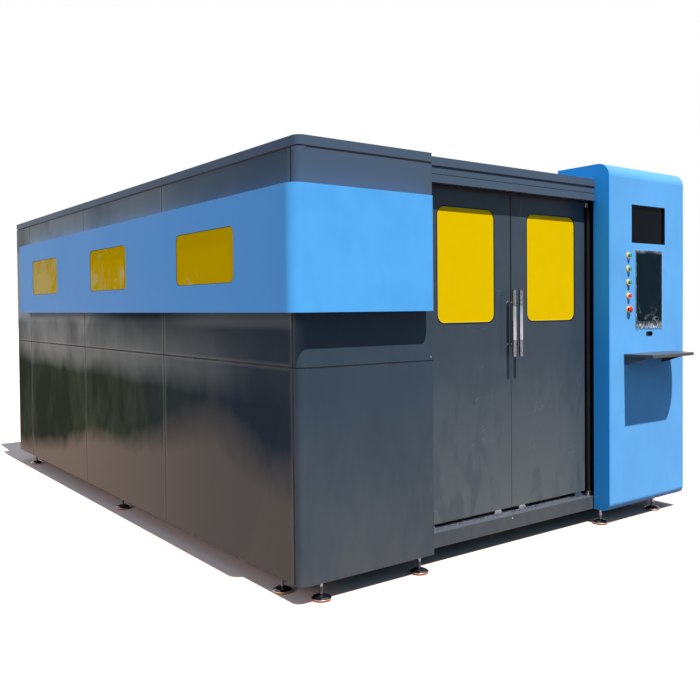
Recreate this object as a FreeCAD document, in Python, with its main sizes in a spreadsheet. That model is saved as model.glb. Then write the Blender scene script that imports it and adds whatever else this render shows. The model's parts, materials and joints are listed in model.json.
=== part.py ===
"""Enclosed fibre laser cutting machine: a sheet metal housing with sliding doors round a gantry bed.

Lengths are millimetres. While the pieces are drawn, x runs from the left wall, y from the front of the
left-hand block into the machine and z from the underside of the housing. node() then moves every piece
to the machine's own frame: origin on the floor, in the middle of the overall footprint, front facing -Y.
"""
import FreeCAD, Part
import math
import os
import types

import Sketcher
from FreeCAD import Placement, Rotation, Vector

doc = FreeCAD.newDocument("LaserCutter")

# ---------------------------------------------------------------- driving dimensions

SIZES = {
    # housing
    "block_width": 830,
    "doorway_width": 1445,
    "cabinet_width": 830,
    "body_length": 4830,
    "body_height": 2100,
    "foot_height": 92,
    "skin": 2,
    "through_cut": 20,
    "panel_depth": 25,
    "seam": 4,
    "tube": 50,
    "tube_wall": 3,
    "front_rail_height": 41,
    "waist_height": 1020,
    "rear_bay": 432,
    "corner_depth": 54,
    "corner_radius": 40,
    "cap_height": 46,
    "cap_flange": 60,
    "cap_groove": 6,
    "cap_gap": 1,
    # blue band with its windows
    "band_bottom": 1280,
    "band_height": 586,
    "band_depth": 80,
    "band_rear_gap": 390,
    "band_corner_reach": 110,
    "band_joint_past_seam": 194,
    "band_front_end": 782,
    "band_radius": 65,
    "band_end_radius": 35,
    "band_gap": 0.5,
    "window_width": 675,
    "window_height": 285,
    "window_radius": 40,
    "window_to_seam": 706,
    "acrylic": 5,
    "acrylic_lap": 15,
    # header and sill of the doorway
    "header_setback": 65,
    "header_drop": 139,
    "header_step": 49,
    "header_rebate": 1.5,
    "header_lip": 20,
    "sill_setback": 80,
    "sill_height": 80,
    "sill_depth": 110,
    "track_width": 20,
    "track_height": 12,
    "track_wall": 2.5,
    "guide_wall": 3,
    "guide_height": 38,
    "guide_play": 3,
    # sliding leaves
    "leaf_setback": 115,
    "leaf_depth": 40,
    "leaf_width": 684,
    "leaf_meeting_gap": 3,
    "leaf_bottom": 116,
    "leaf_top": 1995,
    "leaf_overlap": 45,
    "door_window_width": 440,
    "door_window_height": 640,
    "door_window_bottom": 1210,
    "door_window_from_meeting": 140,
    "door_window_radius": 40,
    "seal_gap": 10,
    "seal_width": 12,
    "seal_play": 1,
    "seal_inset": 12,
    "seal_spacing": 51,
    "pull_from_meeting": 27,
    "pull_reach": 52,
    "pull_radius": 12.5,
    "pull_length": 386,
    "pull_bottom": 1008,
    "pull_post_radius": 6,
    "pull_post_inset": 73,
    "roller_radius": 16,
    "roller_width": 12,
    "roller_inset": 102,
    "roller_outer_inset": 52,
    "roller_play": 0.3,
    "axle_radius": 4,
    "axle_play": 0.05,
    "fork_foot": 64,
    "fork_head": 40,
    "fork_plate": 2.5,
    "fork_play": 1,
    # control cabinet
    "cabinet_proud": 44,
    "cabinet_back": 72,
    "hood_rise": 92,
    "hood_depth": 353,
    "cabinet_top_radius": 80,
    "cabinet_foot_radius": 50,
    "monitor_left": 238,
    "monitor_bottom": 1700,
    "monitor_width": 375,
    "monitor_height": 246,
    "monitor_depth": 40,
    "monitor_flange": 12,
    "screen_recess": 12,
    "touch_left": 281,
    "touch_bottom": 1149,
    "touch_width": 293,
    "touch_height": 506,
    "touch_depth": 45,
    "touch_proud": 2,
    "touch_lap": 6,
    "button_left": 202,
    "button_top": 1617,
    "button_pitch": 86,
    "button_hole_radius": 11.2,
    "button_play": 0.3,
    "button_edge": 1.5,
    "plunger_length": 30,
    "collar_radius": 22,
    "collar_height": 4,
    "collar_slope": 2,
    "bezel_radius": 15,
    "bezel_height": 10,
    "bezel_wall": 2,
    "button_height": 19,
    "button_travel": 5,
    "stop_radius": 20,
    "stop_height": 24,
    "stop_cap_height": 11,
    "stop_bezel_height": 5,
    "stop_slope": 5,
    "stop_core_radius": 5,
    "core_play": 0.05,
    "port_left": 396,
    "port_bottom": 1098,
    "port_width": 71,
    "port_height": 28,
    "port_depth": 18,
    "port_radius": 13,
    "port_flange": 8,
    "port_well": 10,
    "shelf_left": 153,
    "shelf_top": 989,
    "shelf_depth": 208,
    "shelf_thickness": 19,
    "shelf_front": 455,
    "shelf_back": 498,
    "shelf_bulge": 539,
    "shelf_bulge_reach": 94,
    "gusset_height": 50,
    "gusset_depth": 150,
    "gusset_inset": 16,
    "gusset_spacing": 405,
    "gusset_plate": 3,
    "gusset_foot": 12,
    "gusset_nose": 6,
    # levelling feet
    "stem_radius": 8,
    "nut_across": 24,
    "nut_height": 13,
    "nut_drop": 24,
    "disc_radius": 48,
    "disc_rim": 4,
    "disc_dome_radius": 38,
    "disc_dome_rise": 8,
    "disc_rise": 15,
    "disc_shoulder": 19,
    "disc_neck": 10,
    "disc_collar": 5,
    "foot_pad_radius": 46,
    "foot_pad_height": 8,
    "front_foot_left": 139,
    "front_foot_right": 760,
    "front_foot_setback": 40,
    "cabinet_foot_left": 26,
    "cabinet_foot_right": 600,
    "cabinet_foot_setback": 45,
    "side_foot_first": 250,
    "side_foot_last": 345,
    # cutting bed
    "bed_width": 2245,
    "bed_setback": 520,
    "bed_rear_gap": 310,
    "bed_height": 690,
    "bed_foot": 30,
    "bed_foot_size": 120,
    "beam_width": 180,
    "beam_wall": 8,
    "cross_beam_top": 500,
    "bearer_width": 60,
    "bearer_height": 500,
    "table_setback": 880,
    "table_length": 3060,
    "table_width": 1640,
    "table_bar": 40,
    "table_bar_height": 120,
    "slat_pitch": 130,
    "slat_height": 80,
    "slat_thickness": 4,
    "slat_play": 0.3,
    "slat_rise": 20,
    "slat_shoulder": 50,
    "slat_end_gap": 10,
    "tooth_depth": 12,
    "bed_rail_width": 30,
    "bed_rail_height": 26,
    "rack_size": 20,
    "rack_gap": 18,
    # gantry, carriage and head
    "gantry_from_bed_end": 590,
    "gantry_depth": 220,
    "gantry_height": 240,
    "gantry_wall": 10,
    "gantry_chamfer": 30,
    "truck_width": 60,
    "truck_length": 120,
    "truck_height": 54,
    "truck_lift": 4,
    "running_gap": 0.5,
    "saddle_plate": 20,
    "saddle_length": 320,
    "drive_radius": 45,
    "drive_height": 190,
    "drive_box": 110,
    "lift_motor_radius": 32,
    "lift_motor_height": 134,
    "cross_rail": 20,
    "cross_rail_inset": 35,
    "carriage_width": 260,
    "carriage_plate": 25,
    "carriage_height": 430,
    "carriage_drop": 18,
    "carriage_block_length": 70,
    "carriage_block_width": 50,
    "head_slide_width": 120,
    "head_slide_plate": 20,
    "head_slide_height": 210,
    "head_clamp_height": 70,
    "head_clamp_wall": 10,
    "head_radius": 38,
    "head_length": 330,
    "head_neck_height": 132,
    "head_cone_top": 145,
    "head_shoulder": 297,
    "head_boot_foot": 304,
    "head_clamp_level": 165,
    "nozzle_clearance": 150,
    "nozzle_radius": 3,
    "nozzle_base": 12,
    "nozzle_length": 40,
    "neck_radius": 26,
    "fibre_boot": 14,
    # fume outlet in the rear wall
    "outlet_radius": 100,
    "outlet_wall": 2,
    "outlet_length": 80,
    "outlet_height": 260,
    "outlet_flange": 25,
    "duct_clearance": 20,
}

sheet = doc.addObject("Spreadsheet::Sheet", "Sizes")
for row, (alias, number) in enumerate(SIZES.items(), start=1):
    sheet.set(f"A{row}", alias)
    sheet.set(f"B{row}", str(number))
    sheet.setAlias(f"B{row}", alias)
doc.recompute()


class Length:
    """A length that knows its number and the sheet expression that gives it."""

    def __init__(self, number, text=None):
        self.number = float(number)
        self.text = text or repr(self.number)

    def __add__(self, other):
        other = length(other)
        return Length(self.number + other.number, f"({self.text} + {other.text})")

    def __sub__(self, other):
        other = length(other)
        return Length(self.number - other.number, f"({self.text} - {other.text})")

    def __mul__(self, factor):
        factor = length(factor)
        return Length(self.number * factor.number, f"{self.text} * {factor.text}")

    def __truediv__(self, divisor):
        return Length(self.number / divisor, f"{self.text} / {divisor}")

    def __neg__(self):
        return Length(-self.number, f"(0 - {self.text})")

    def __radd__(self, other):
        return length(other) + self

    def __rsub__(self, other):
        return length(other) - self

    __rmul__ = __mul__


def length(value):
    """value as a Length, whether it is one already or a plain number."""
    return value if isinstance(value, Length) else Length(value)


S = types.SimpleNamespace(**{alias: Length(sheet.get(alias), f"Sizes.{alias}") for alias in SIZES})

# ---------------------------------------------------------------- sizes that follow from others

body_width = S.block_width + S.doorway_width + S.cabinet_width
cabinet_left = S.block_width + S.doorway_width
middle = S.block_width + S.doorway_width / 2
roof_line = S.body_height - S.cap_height
outer_depth = S.cabinet_proud + S.shelf_depth
overall_depth = S.body_length + S.outlet_length + outer_depth
datum = (
    S.band_depth / 2 - body_width / 2,
    outer_depth - overall_depth / 2,
    S.foot_height,
)
bay_length = (S.body_length - S.rear_bay - S.cabinet_back) / 3
first_seam = S.cabinet_back + bay_length
second_seam = first_seam + bay_length
third_seam = second_seam + bay_length
leaf_back = S.leaf_setback + S.leaf_depth
inner_wall = leaf_back + S.seal_gap
track_line = S.leaf_setback + S.leaf_depth / 2
sill_top = S.sill_height
bed_left = body_width / 2 - S.bed_width / 2
bed_end = S.body_length - S.bed_rear_gap
bed_length = bed_end - S.bed_setback

REAR_COLUMNS = 3
SLAT_TEETH = 13
NODES = []


# ---------------------------------------------------------------- drawing helpers

def bind(thing, name, value):
    """Tie a property to the expression of a length."""
    thing.setExpression(name, length(value).text)


def place(thing, at):
    """Tie the corner of a piece to three lengths."""
    for axis, value in zip("xyz", at):
        bind(thing, f"Placement.Base.{axis}", value)


def box(name, size, at):
    """A plain block with its low corner at the given place."""
    block = doc.addObject("Part::Box", name)
    for side, value in zip(("Length", "Width", "Height"), size):
        bind(block, side, value)
    place(block, at)
    return block


def group(name, pieces):
    """Separate solids kept together as one thing."""
    compound = doc.addObject("Part::Compound", name)
    compound.Links = list(pieces)
    return compound


def cut(name, base, *tools):
    """base with the tools taken away."""
    result = doc.addObject("Part::Cut", name)
    result.Base = base
    result.Tool = tools[0] if len(tools) == 1 else group(f"{name}_tools", tools)
    return result


def fuse(name, *pieces):
    """The pieces welded into one solid."""
    result = doc.addObject("Part::MultiFuse", name)
    result.Shapes = list(pieces)
    result.Refine = True
    return result


def node(label, *pieces):
    """One sub-part of the machine, moved from the drawing corner to the machine's own frame."""
    part = group(label, pieces)
    part.Label = label
    place(part, datum)
    NODES.append(part)
    return part


def copies(name, original, places):
    """The original linked to each of the places."""
    links = []
    for index, at in enumerate(places):
        link = doc.addObject("App::Link", f"{name}_{index + 1}")
        link.LinkedObject = original
        link.Placement = Placement(Vector(), original.Placement.Rotation)
        place(link, at)
        links.append(link)
    return links


def tray(name, size, at, open_side, wall=S.skin):
    """A folded sheet panel: a block hollowed out from its open side, such as '+x'."""
    direction, axis = open_side[0], "xyz".index(open_side[1])
    hollow_size, hollow_at = [], []
    for index in range(3):
        if index == axis:
            hollow_size.append(length(size[index]))
            hollow_at.append(length(at[index]) + (wall if direction == "+" else -wall))
        else:
            hollow_size.append(size[index] - wall * 2)
            hollow_at.append(length(at[index]) + wall)
    return cut(name, box(f"{name}_outside", size, at), box(f"{name}_inside", hollow_size, hollow_at))


def tube(name, size, at, axis, wall=S.tube_wall):
    """A straight rectangular tube, open at both ends along its axis."""
    along = "xyz".index(axis)
    bore_size = [side if index == along else side - wall * 2 for index, side in enumerate(size)]
    bore_at = [length(low) if index == along else length(low) + wall for index, low in enumerate(at)]
    return cut(name, box(f"{name}_outside", size, at), box(f"{name}_bore", bore_size, bore_at))


def body(name, at, turn=None):
    """A new body, turned if asked, with its origin tied to the given place."""
    solid = doc.addObject("PartDesign::Body", name)
    if turn:
        solid.Placement = Placement(Vector(), turn)
    place(solid, at)
    return solid


def sketch_on(solid, role, name="Outline"):
    """An empty sketch on one of the body's own origin planes."""
    sketch = solid.newObject("Sketcher::SketchObject", name)
    plane = next(item for item in solid.Origin.OriginFeatures if item.Role == f"{role}_Plane")
    sketch.AttachmentSupport = [(plane, "")]
    sketch.MapMode = "FlatFace"
    return sketch


def hold(sketch, kind, edge, end, value):
    """Hold a point at a distance from the sketch origin, or on its axis where the distance is nothing."""
    value = length(value)
    if abs(value.number) < 1e-9:
        axis = -2 if kind == "DistanceX" else -1
        sketch.addConstraint(Sketcher.Constraint("PointOnObject", edge, end, axis))
        return
    index = sketch.addConstraint(Sketcher.Constraint(kind, -1, 1, edge, end, value.number))
    sketch.setExpression(f"Constraints[{index}]", value.text)


def draw_outline(sketch, points):
    """A closed outline with every corner held at its distances from the sketch origin."""
    first, count = sketch.GeometryCount, len(points)
    corners = [Vector(length(x).number, length(y).number, 0) for x, y in points]
    for index, corner in enumerate(corners):
        sketch.addGeometry(Part.LineSegment(corner, corners[(index + 1) % count]), False)
    for index in range(count):
        following = first + (index + 1) % count
        sketch.addConstraint(Sketcher.Constraint("Coincident", first + index, 2, following, 1))
    for index, (x, y) in enumerate(points):
        hold(sketch, "DistanceX", first + index, 1, x)
        hold(sketch, "DistanceY", first + index, 1, y)


def pad(solid, sketch, depth, role):
    """Push the sketch out along the positive axis of its plane."""
    feature = solid.newObject("PartDesign::Pad", "Pad")
    feature.Profile = sketch
    feature.Reversed = role == "XZ"
    bind(feature, "Length", depth)
    doc.recompute()
    return feature


def prism(name, role, points, depth, at):
    """A straight piece of constant section, with its outline drawn on the named plane."""
    solid = body(name, at)
    sketch = sketch_on(solid, role)
    draw_outline(sketch, points)
    pad(solid, sketch, depth, role)
    return solid


def edges_where(shape, **held):
    """Names of the straight edges whose two ends both lie at the held coordinates."""
    names = []
    for index, edge in enumerate(shape.Edges, start=1):
        ends = [vertex.Point for vertex in edge.Vertexes]
        if len(ends) == 2 and all(
            abs(getattr(end, axis) - length(value).number) < 1e-6
            for end in ends for axis, value in held.items()
        ):
            names.append(f"Edge{index}")
    return names


def faces_where(shape, axis, value):
    """Names of the flat faces that lie square to an axis at the given distance."""
    names = []
    for index, face in enumerate(shape.Faces, start=1):
        box_of_face = face.BoundBox
        low, high = getattr(box_of_face, f"{axis.upper()}Min"), getattr(box_of_face, f"{axis.upper()}Max")
        if max(abs(low - length(value).number), abs(high - length(value).number)) < 1e-6:
            names.append(f"Face{index}")
    return names


def fillet(solid, radius, **held):
    """Round the edges of the body's tip that lie at the held coordinates."""
    base = solid.Tip
    feature = solid.newObject("PartDesign::Fillet", "Fillet")
    feature.Base = (base, edges_where(base.Shape, **held))
    bind(feature, "Radius", radius)
    doc.recompute()
    return feature


def shell(solid, wall, *openings):
    """Hollow the body's tip to a wall, left open at the given (axis, distance) faces."""
    base = solid.Tip
    names = [name for axis, value in openings for name in faces_where(base.Shape, axis, value)]
    feature = solid.newObject("PartDesign::Thickness", "Shell")
    feature.Base = (base, names)
    feature.Reversed = True
    bind(feature, "Value", wall)
    doc.recompute()
    return feature


def rounded_plate(name, role, width, height, radius, depth, at):
    """A plate with round corners: its low corner at the given place, padded along the plane's axis."""
    corners = [(0, 0), (width, 0), (width, height), (0, height)]
    plate = prism(name, role, corners, depth, at)
    first, second = {"XY": "xy", "XZ": "xz", "YZ": "yz"}[role]
    base = plate.Tip
    names = []
    for across, up in corners:
        names += edges_where(base.Shape, **{first: across, second: up})
    feature = plate.newObject("PartDesign::Fillet", "Corners")
    feature.Base = (base, names)
    bind(feature, "Radius", radius)
    doc.recompute()
    return plate


TURNS = {
    "z": Rotation(),
    "x": Rotation(Vector(0, 1, 0), 90),
    "y": Rotation(Vector(1, 0, 0), -90),
    "-y": Rotation(Vector(1, 0, 0), 90),
}


def turned(name, points, at, axis="z"):
    """A lathe-turned piece: an outline of (radius, distance along the axis) spun round the axis."""
    solid = body(name, at, TURNS[axis])
    sketch = sketch_on(solid, "XZ")
    draw_outline(sketch, points)
    spin = solid.newObject("PartDesign::Revolution", "Turn")
    spin.Profile = sketch
    spin.ReferenceAxis = (sketch, ["V_Axis"])
    spin.Angle = 360
    doc.recompute()
    return solid


# ---------------------------------------------------------------- frame of the housing

def make_frame():
    """Welded square tube: rails round the foot and roof, ties to the bed, posts behind the seams."""
    side = S.tube
    left = S.panel_depth
    right = body_width - S.panel_depth - side
    rear = S.body_length - S.panel_depth - side
    across = right - left - side
    run = rear + side - S.corner_depth
    right_run = rear + side - S.cabinet_back
    block_tube = S.corner_radius + S.seam
    cabinet_tube_y = S.cabinet_back - S.skin - side
    foot_rails = [
        tube("left_foot_rail", (side, run, side), (left, S.corner_depth, 0), "y"),
        tube("right_foot_rail", (side, right_run, side), (right, S.cabinet_back, 0), "y"),
        tube("rear_foot_rail", (across, side, side), (left + side, rear, 0), "x"),
        tube(
            "block_foot_rail",
            (S.block_width - S.skin - block_tube, side, side),
            (block_tube, S.corner_depth - side, S.skin),
            "x",
        ),
        tube(
            "cabinet_foot_rail",
            (S.cabinet_width - S.skin * 2, side, side),
            (cabinet_left + S.skin, cabinet_tube_y, S.skin),
            "x",
        ),
    ]
    seams = (first_seam, second_seam, third_seam)
    for number, y in ((1, first_seam - side / 2), (2, third_seam - side / 2)):
        for name, low, high in (("left", left + side, bed_left), ("right", bed_left + S.bed_width, right)):
            foot_rails.append(tube(f"{name}_bed_tie_{number}", (high - low, side, side), (low, y, 0), "x"))
    node("base_rails", *foot_rails)

    post = roof_line - side * 2
    stations = [(left, S.corner_depth), (right, S.cabinet_back), (left, rear), (right, rear)]
    stations += [(x, seam - side / 2) for seam in seams for x in (left, right)]
    stations += [(body_width * (column / REAR_COLUMNS) - side / 2, rear) for column in range(1, REAR_COLUMNS)]
    posts = [
        tube(f"post_{index + 1}", (side, side, post), (x, y, side), "z")
        for index, (x, y) in enumerate(stations)
    ]
    node("frame_posts", *posts)

    level = roof_line - side
    rails = [
        tube("left_roof_rail", (side, run, side), (left, S.corner_depth, level), "y"),
        tube("right_roof_rail", (side, right_run, side), (right, S.cabinet_back, level), "y"),
        tube("rear_roof_rail", (across, side, side), (left + side, rear, level), "x"),
        tube(
            "front_roof_rail",
            (across, inner_wall - S.leaf_setback, S.front_rail_height),
            (left + side, S.leaf_setback, roof_line - S.front_rail_height),
            "x",
        ),
    ]
    rails += [
        tube(f"roof_cross_rail_{index + 1}", (across, side, side), (left + side, seam - side / 2, level), "x")
        for index, seam in enumerate(seams)
    ]
    node("roof_rails", *rails)


# ---------------------------------------------------------------- panels

def wall_bays(start):
    """The (start, end) of each bay along a side wall."""
    seams = [start, first_seam, second_seam, third_seam, S.body_length]
    return list(zip(seams, seams[1:]))


def window_start(index):
    """Where the window before the seam of the given bay begins."""
    seam = (first_seam, second_seam, third_seam)[index]
    return seam - S.window_to_seam - S.window_width / 2


def side_wall(name, x, open_side, start, windows):
    """Two rows of folded panels along one side, with holes behind the band windows where asked."""
    panels = []
    upper_bottom = S.waist_height + S.seam
    upper_height = roof_line - S.cap_groove - upper_bottom
    hole_margin = S.acrylic_lap * 2
    window_bottom = S.band_bottom + (S.band_height - S.window_height) / 2
    for index, (low, high) in enumerate(wall_bays(start)):
        low = low + S.seam
        run = high - low
        panels.append(
            tray(f"{name}_lower_{index + 1}", (S.panel_depth, run, S.waist_height), (x, low, 0), open_side)
        )
        upper = tray(
            f"{name}_upper_{index + 1}", (S.panel_depth, run, upper_height), (x, low, upper_bottom), open_side
        )
        if windows and index < 3:
            hole = box(
                f"{name}_hole_{index + 1}",
                (S.through_cut, S.window_width + hole_margin * 2, S.window_height + hole_margin * 2),
                (x - S.through_cut / 2, window_start(index) - hole_margin, window_bottom - hole_margin),
            )
            upper = cut(f"{name}_upper_{index + 1}_cut", upper, hole)
        panels.append(upper)
    return panels


def make_panels():
    """Side, rear and roof panels, and the cap that runs round the roof."""
    node("left_panels", *side_wall("left", 0, "+x", S.corner_depth, True))
    node("right_panels", *side_wall("right", body_width - S.panel_depth, "-x", S.cabinet_back, False))

    rear = S.body_length - S.panel_depth
    span = (body_width - S.panel_depth * 2 - S.seam * (REAR_COLUMNS + 1)) / REAR_COLUMNS
    upper_bottom = S.waist_height + S.seam
    panels = []
    for column in range(REAR_COLUMNS):
        x = S.panel_depth + S.seam + (span + S.seam) * column
        lower = tray(f"rear_lower_{column + 1}", (span, S.panel_depth, S.waist_height), (x, rear, 0), "-y")
        if column == REAR_COLUMNS // 2:
            bore = doc.addObject("Part::Cylinder", "outlet_bore")
            bore.Placement = Placement(Vector(), TURNS["y"])
            bind(bore, "Radius", S.outlet_radius + S.skin)
            bind(bore, "Height", S.through_cut)
            place(bore, (body_width / 2, S.body_length - S.through_cut / 2, S.outlet_height))
            lower = cut("rear_lower_outlet", lower, bore)
        height = roof_line - S.cap_groove - upper_bottom
        upper = tray(f"rear_upper_{column + 1}", (span, S.panel_depth, height), (x, rear, upper_bottom), "-y")
        panels += [lower, upper]
    node("rear_panels", *panels)

    cap_back = S.leaf_setback
    roof_x = S.cap_flange + S.seam
    roof_span = body_width - roof_x * 2
    rear_cap = S.body_length - S.cap_flange
    cover = S.cap_height - S.skin
    edges = [cap_back, first_seam, second_seam, third_seam, rear_cap]
    covers = [
        tray(f"roof_{index + 1}", (roof_span, edges[index + 1] - edges[index] - S.seam, cover),
             (roof_x, edges[index] + S.seam, roof_line), "-z")
        for index in range(4)
    ]
    node("roof_panels", *covers)

    caps = []
    for side, x, start in (
        ("left", length(0), cap_back),
        ("right", body_width - S.cap_flange, S.cabinet_back),
    ):
        stops = [start, first_seam, second_seam, third_seam, S.body_length]
        for index in range(4):
            caps.append(
                tray(f"{side}_cap_{index + 1}",
                     (S.cap_flange, stops[index + 1] - stops[index] - S.cap_gap, S.cap_height),
                     (x, stops[index] + S.cap_gap / 2, roof_line), "-z")
            )
    caps.append(
        tray("rear_cap", (body_width - S.cap_flange * 2, S.cap_flange, S.cap_height),
             (S.cap_flange, rear_cap, roof_line), "-z")
    )
    caps.append(
        tray("header_cap", (S.doorway_width, cap_back - S.header_setback, S.cap_height),
             (S.block_width, S.header_setback, roof_line), "-z")
    )
    corner = prism(
        "corner_cap", "XY",
        [(0, 0), (S.block_width, 0), (S.block_width, cap_back), (0, cap_back)],
        S.cap_height, (0, 0, roof_line),
    )
    fillet(corner, S.corner_radius, x=0, y=0)
    shell(corner, S.skin, ("z", 0))
    caps.append(corner)
    node("roof_cap", *caps)


def corner_shell(name, bottom, height):
    """The front of the left-hand block: a deep folded panel that turns a round corner."""
    points = [(0, 0), (S.block_width, 0), (S.block_width, S.corner_depth), (0, S.corner_depth)]
    piece = prism(name, "XY", points, height, (0, 0, bottom))
    fillet(piece, S.corner_radius, x=0, y=0)
    shell(piece, S.skin, ("y", S.corner_depth))
    return piece


def make_block():
    """The left-hand block's two front shells, one above the other."""
    upper_bottom = S.waist_height + S.seam
    node("corner_lower_shell", corner_shell("lower_shell", 0, S.waist_height))
    upper_height = roof_line - S.cap_groove - upper_bottom
    node("corner_upper_shell", corner_shell("upper_shell", upper_bottom, upper_height))


# ---------------------------------------------------------------- blue band

def make_band():
    """A boxed-out band along the left side that turns round the front corner, and its three windows."""
    out = -S.band_depth
    wrap = prism(
        "band_wrap", "XY",
        [(out, out), (S.band_front_end, out), (S.band_front_end, 0), (0, 0),
         (0, S.band_corner_reach), (out, S.band_corner_reach)],
        S.band_height, (0, 0, S.band_bottom),
    )
    fillet(wrap, S.band_radius, x=out, y=out)
    fillet(wrap, S.band_end_radius, x=S.band_front_end, y=out)
    shell(wrap, S.skin, ("x", 0), ("y", 0))
    node("band_corner", wrap)

    window_bottom = S.band_bottom + (S.band_height - S.window_height) / 2
    joint, rear_end = second_seam + S.band_joint_past_seam, S.body_length - S.band_rear_gap
    stretches = [(S.band_corner_reach, joint, (0, 1)), (joint, rear_end, (2,))]
    sides, panes = [], []
    for index, (low, high, windows) in enumerate(stretches):
        side = tray(
            f"band_side_{index + 1}",
            (S.band_depth, high - low - S.band_gap, S.band_height),
            (out, low + S.band_gap, S.band_bottom), "+x",
        )
        holes = [
            rounded_plate(
                f"window_hole_{window + 1}", "YZ", S.window_width, S.window_height, S.window_radius,
                S.through_cut, (out - S.through_cut / 2, window_start(window), window_bottom),
            )
            for window in windows
        ]
        sides.append(cut(f"band_side_{index + 1}_cut", side, *holes))
        panes += [
            rounded_plate(
                f"window_pane_{window + 1}", "YZ",
                S.window_width + S.acrylic_lap * 2, S.window_height + S.acrylic_lap * 2,
                S.window_radius, S.acrylic,
                (out + S.skin, window_start(window) - S.acrylic_lap, window_bottom - S.acrylic_lap),
            )
            for window in windows
        ]
    node("band_side", *sides)
    node("side_windows", *panes)


# ---------------------------------------------------------------- doorway

def channel(name, size, wall, start, foot, opens_up):
    """The three flat strips of a channel for the leaves, which runs along x and opens up or down."""
    run, width, height = size
    low = track_line - width / 2
    web = foot if opens_up else foot + height - wall
    side_foot = foot + wall if opens_up else foot
    side = (run, wall, height - wall)
    return [
        box(f"{name}_web", (run, width, wall), (start, low, web)),
        box(f"{name}_front_wall", side, (start, low, side_foot)),
        box(f"{name}_rear_wall", side, (start, low + width - wall, side_foot)),
    ]


def make_doorway():
    """Header, sill, the tracks for the leaves, the inner walls of the door pockets and their seals."""
    face, lip = S.header_setback, S.header_lip
    bottom = S.body_height - S.header_drop
    step = bottom + S.header_step
    section = [
        (face, bottom), (face + lip, bottom), (face + lip, bottom + S.skin), (face + S.skin, bottom + S.skin),
        (face + S.skin, step), (face + S.skin + S.header_rebate, step),
        (face + S.skin + S.header_rebate, roof_line - S.skin), (S.leaf_setback, roof_line - S.skin),
        (S.leaf_setback, roof_line), (face + S.header_rebate, roof_line),
        (face + S.header_rebate, step - S.skin), (face, step - S.skin),
    ]
    node("header", prism("header_sheet", "YZ", section, S.doorway_width, (S.block_width, 0, 0)))

    left_end = S.panel_depth + S.tube
    across = body_width - left_end * 2
    sill = tray(
        "sill_sheet", (across, S.sill_depth, S.sill_height), (left_end, S.sill_setback, 0), "-z", S.tube_wall
    )
    node("door_sill", sill)

    guide_top = roof_line - S.front_rail_height
    guide_foot = guide_top - S.guide_height
    guide_width = S.leaf_depth + (S.guide_play + S.guide_wall) * 2
    track_size = (across, S.track_width, S.track_height)
    guide_size = (across, guide_width, S.guide_height)
    lower = channel("lower_track", track_size, S.track_wall, left_end, sill_top, True)
    upper = channel("upper_guide", guide_size, S.guide_wall, left_end, guide_foot, False)
    node("door_tracks", *lower, *upper)

    reach = middle - S.leaf_meeting_gap / 2 - S.leaf_width + S.leaf_overlap
    wall_height = roof_line - sill_top
    wall_size = (reach - left_end, S.panel_depth, wall_height)
    left_wall = tray("left_inner_wall", wall_size, (left_end, inner_wall, sill_top), "+y")
    right_start = body_width - left_end - (reach - left_end)
    right_wall = tray("right_inner_wall", wall_size, (right_start, inner_wall, sill_top), "+y")
    divider = box(
        "cabinet_divider",
        (S.cabinet_width - S.skin * 2, S.skin, S.body_height - S.skin),
        (cabinet_left + S.skin, S.cabinet_back - S.skin, S.skin),
    )
    node("inner_panels", left_wall, right_wall, divider)

    strip = inner_wall - leaf_back - S.seal_play
    strips = []
    for name, start, sign in (("left", reach, -1), ("right", right_start, 1)):
        for index, away in enumerate((S.seal_inset, S.seal_inset + S.seal_spacing)):
            x = start + away * sign
            if sign < 0:
                x = x - S.seal_width
            strips.append(
                box(f"{name}_seal_{index + 1}", (S.seal_width, strip, guide_foot - sill_top),
                    (x, inner_wall - strip, sill_top))
            )
    node("door_seals", *strips)


def leaf_piece(name, left, meeting_on_right):
    """One sliding leaf: a folded door skin with a window hole, its pane, its pull and its roller forks."""
    height = S.leaf_top - S.leaf_bottom
    outer = prism(
        f"{name}_skin", "XZ", [(0, 0), (S.leaf_width, 0), (S.leaf_width, height), (0, height)],
        S.leaf_depth, (left, S.leaf_setback, S.leaf_bottom),
    )
    shell(outer, S.skin, ("y", S.leaf_depth))
    window_left = left + S.door_window_from_meeting
    if meeting_on_right:
        window_left = left + S.leaf_width - S.door_window_from_meeting - S.door_window_width
    hole = rounded_plate(
        f"{name}_hole", "XZ", S.door_window_width, S.door_window_height, S.door_window_radius,
        S.through_cut, (window_left, S.leaf_setback - S.through_cut / 2, S.door_window_bottom),
    )
    node(f"{name}_leaf", cut(f"{name}_leaf_cut", outer, hole))

    pane = rounded_plate(
        f"{name}_pane", "XZ",
        S.door_window_width + S.acrylic_lap * 2, S.door_window_height + S.acrylic_lap * 2,
        S.door_window_radius, S.acrylic,
        (window_left - S.acrylic_lap, S.leaf_setback + S.skin, S.door_window_bottom - S.acrylic_lap),
    )
    node(f"{name}_window", pane)

    pull_x = left + S.pull_from_meeting
    if meeting_on_right:
        pull_x = left + S.leaf_width - S.pull_from_meeting
    pull_y = S.leaf_setback - S.pull_reach
    bar = turned(
        f"{name}_bar",
        [(0, 0), (S.pull_radius, 0), (S.pull_radius, S.pull_length), (0, S.pull_length)],
        (pull_x, pull_y, S.pull_bottom),
    )
    posts = [
        turned(
            f"{name}_post_{index + 1}",
            [(0, 0), (S.pull_post_radius, 0), (S.pull_post_radius, S.pull_reach), (0, S.pull_reach)],
            (pull_x, pull_y, S.pull_bottom + offset), "y",
        )
        for index, offset in enumerate((S.pull_post_inset, S.pull_length - S.pull_post_inset))
    ]
    node(f"{name}_pull", fuse(f"{name}_pull_weld", bar, *posts))
    return window_left


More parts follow.
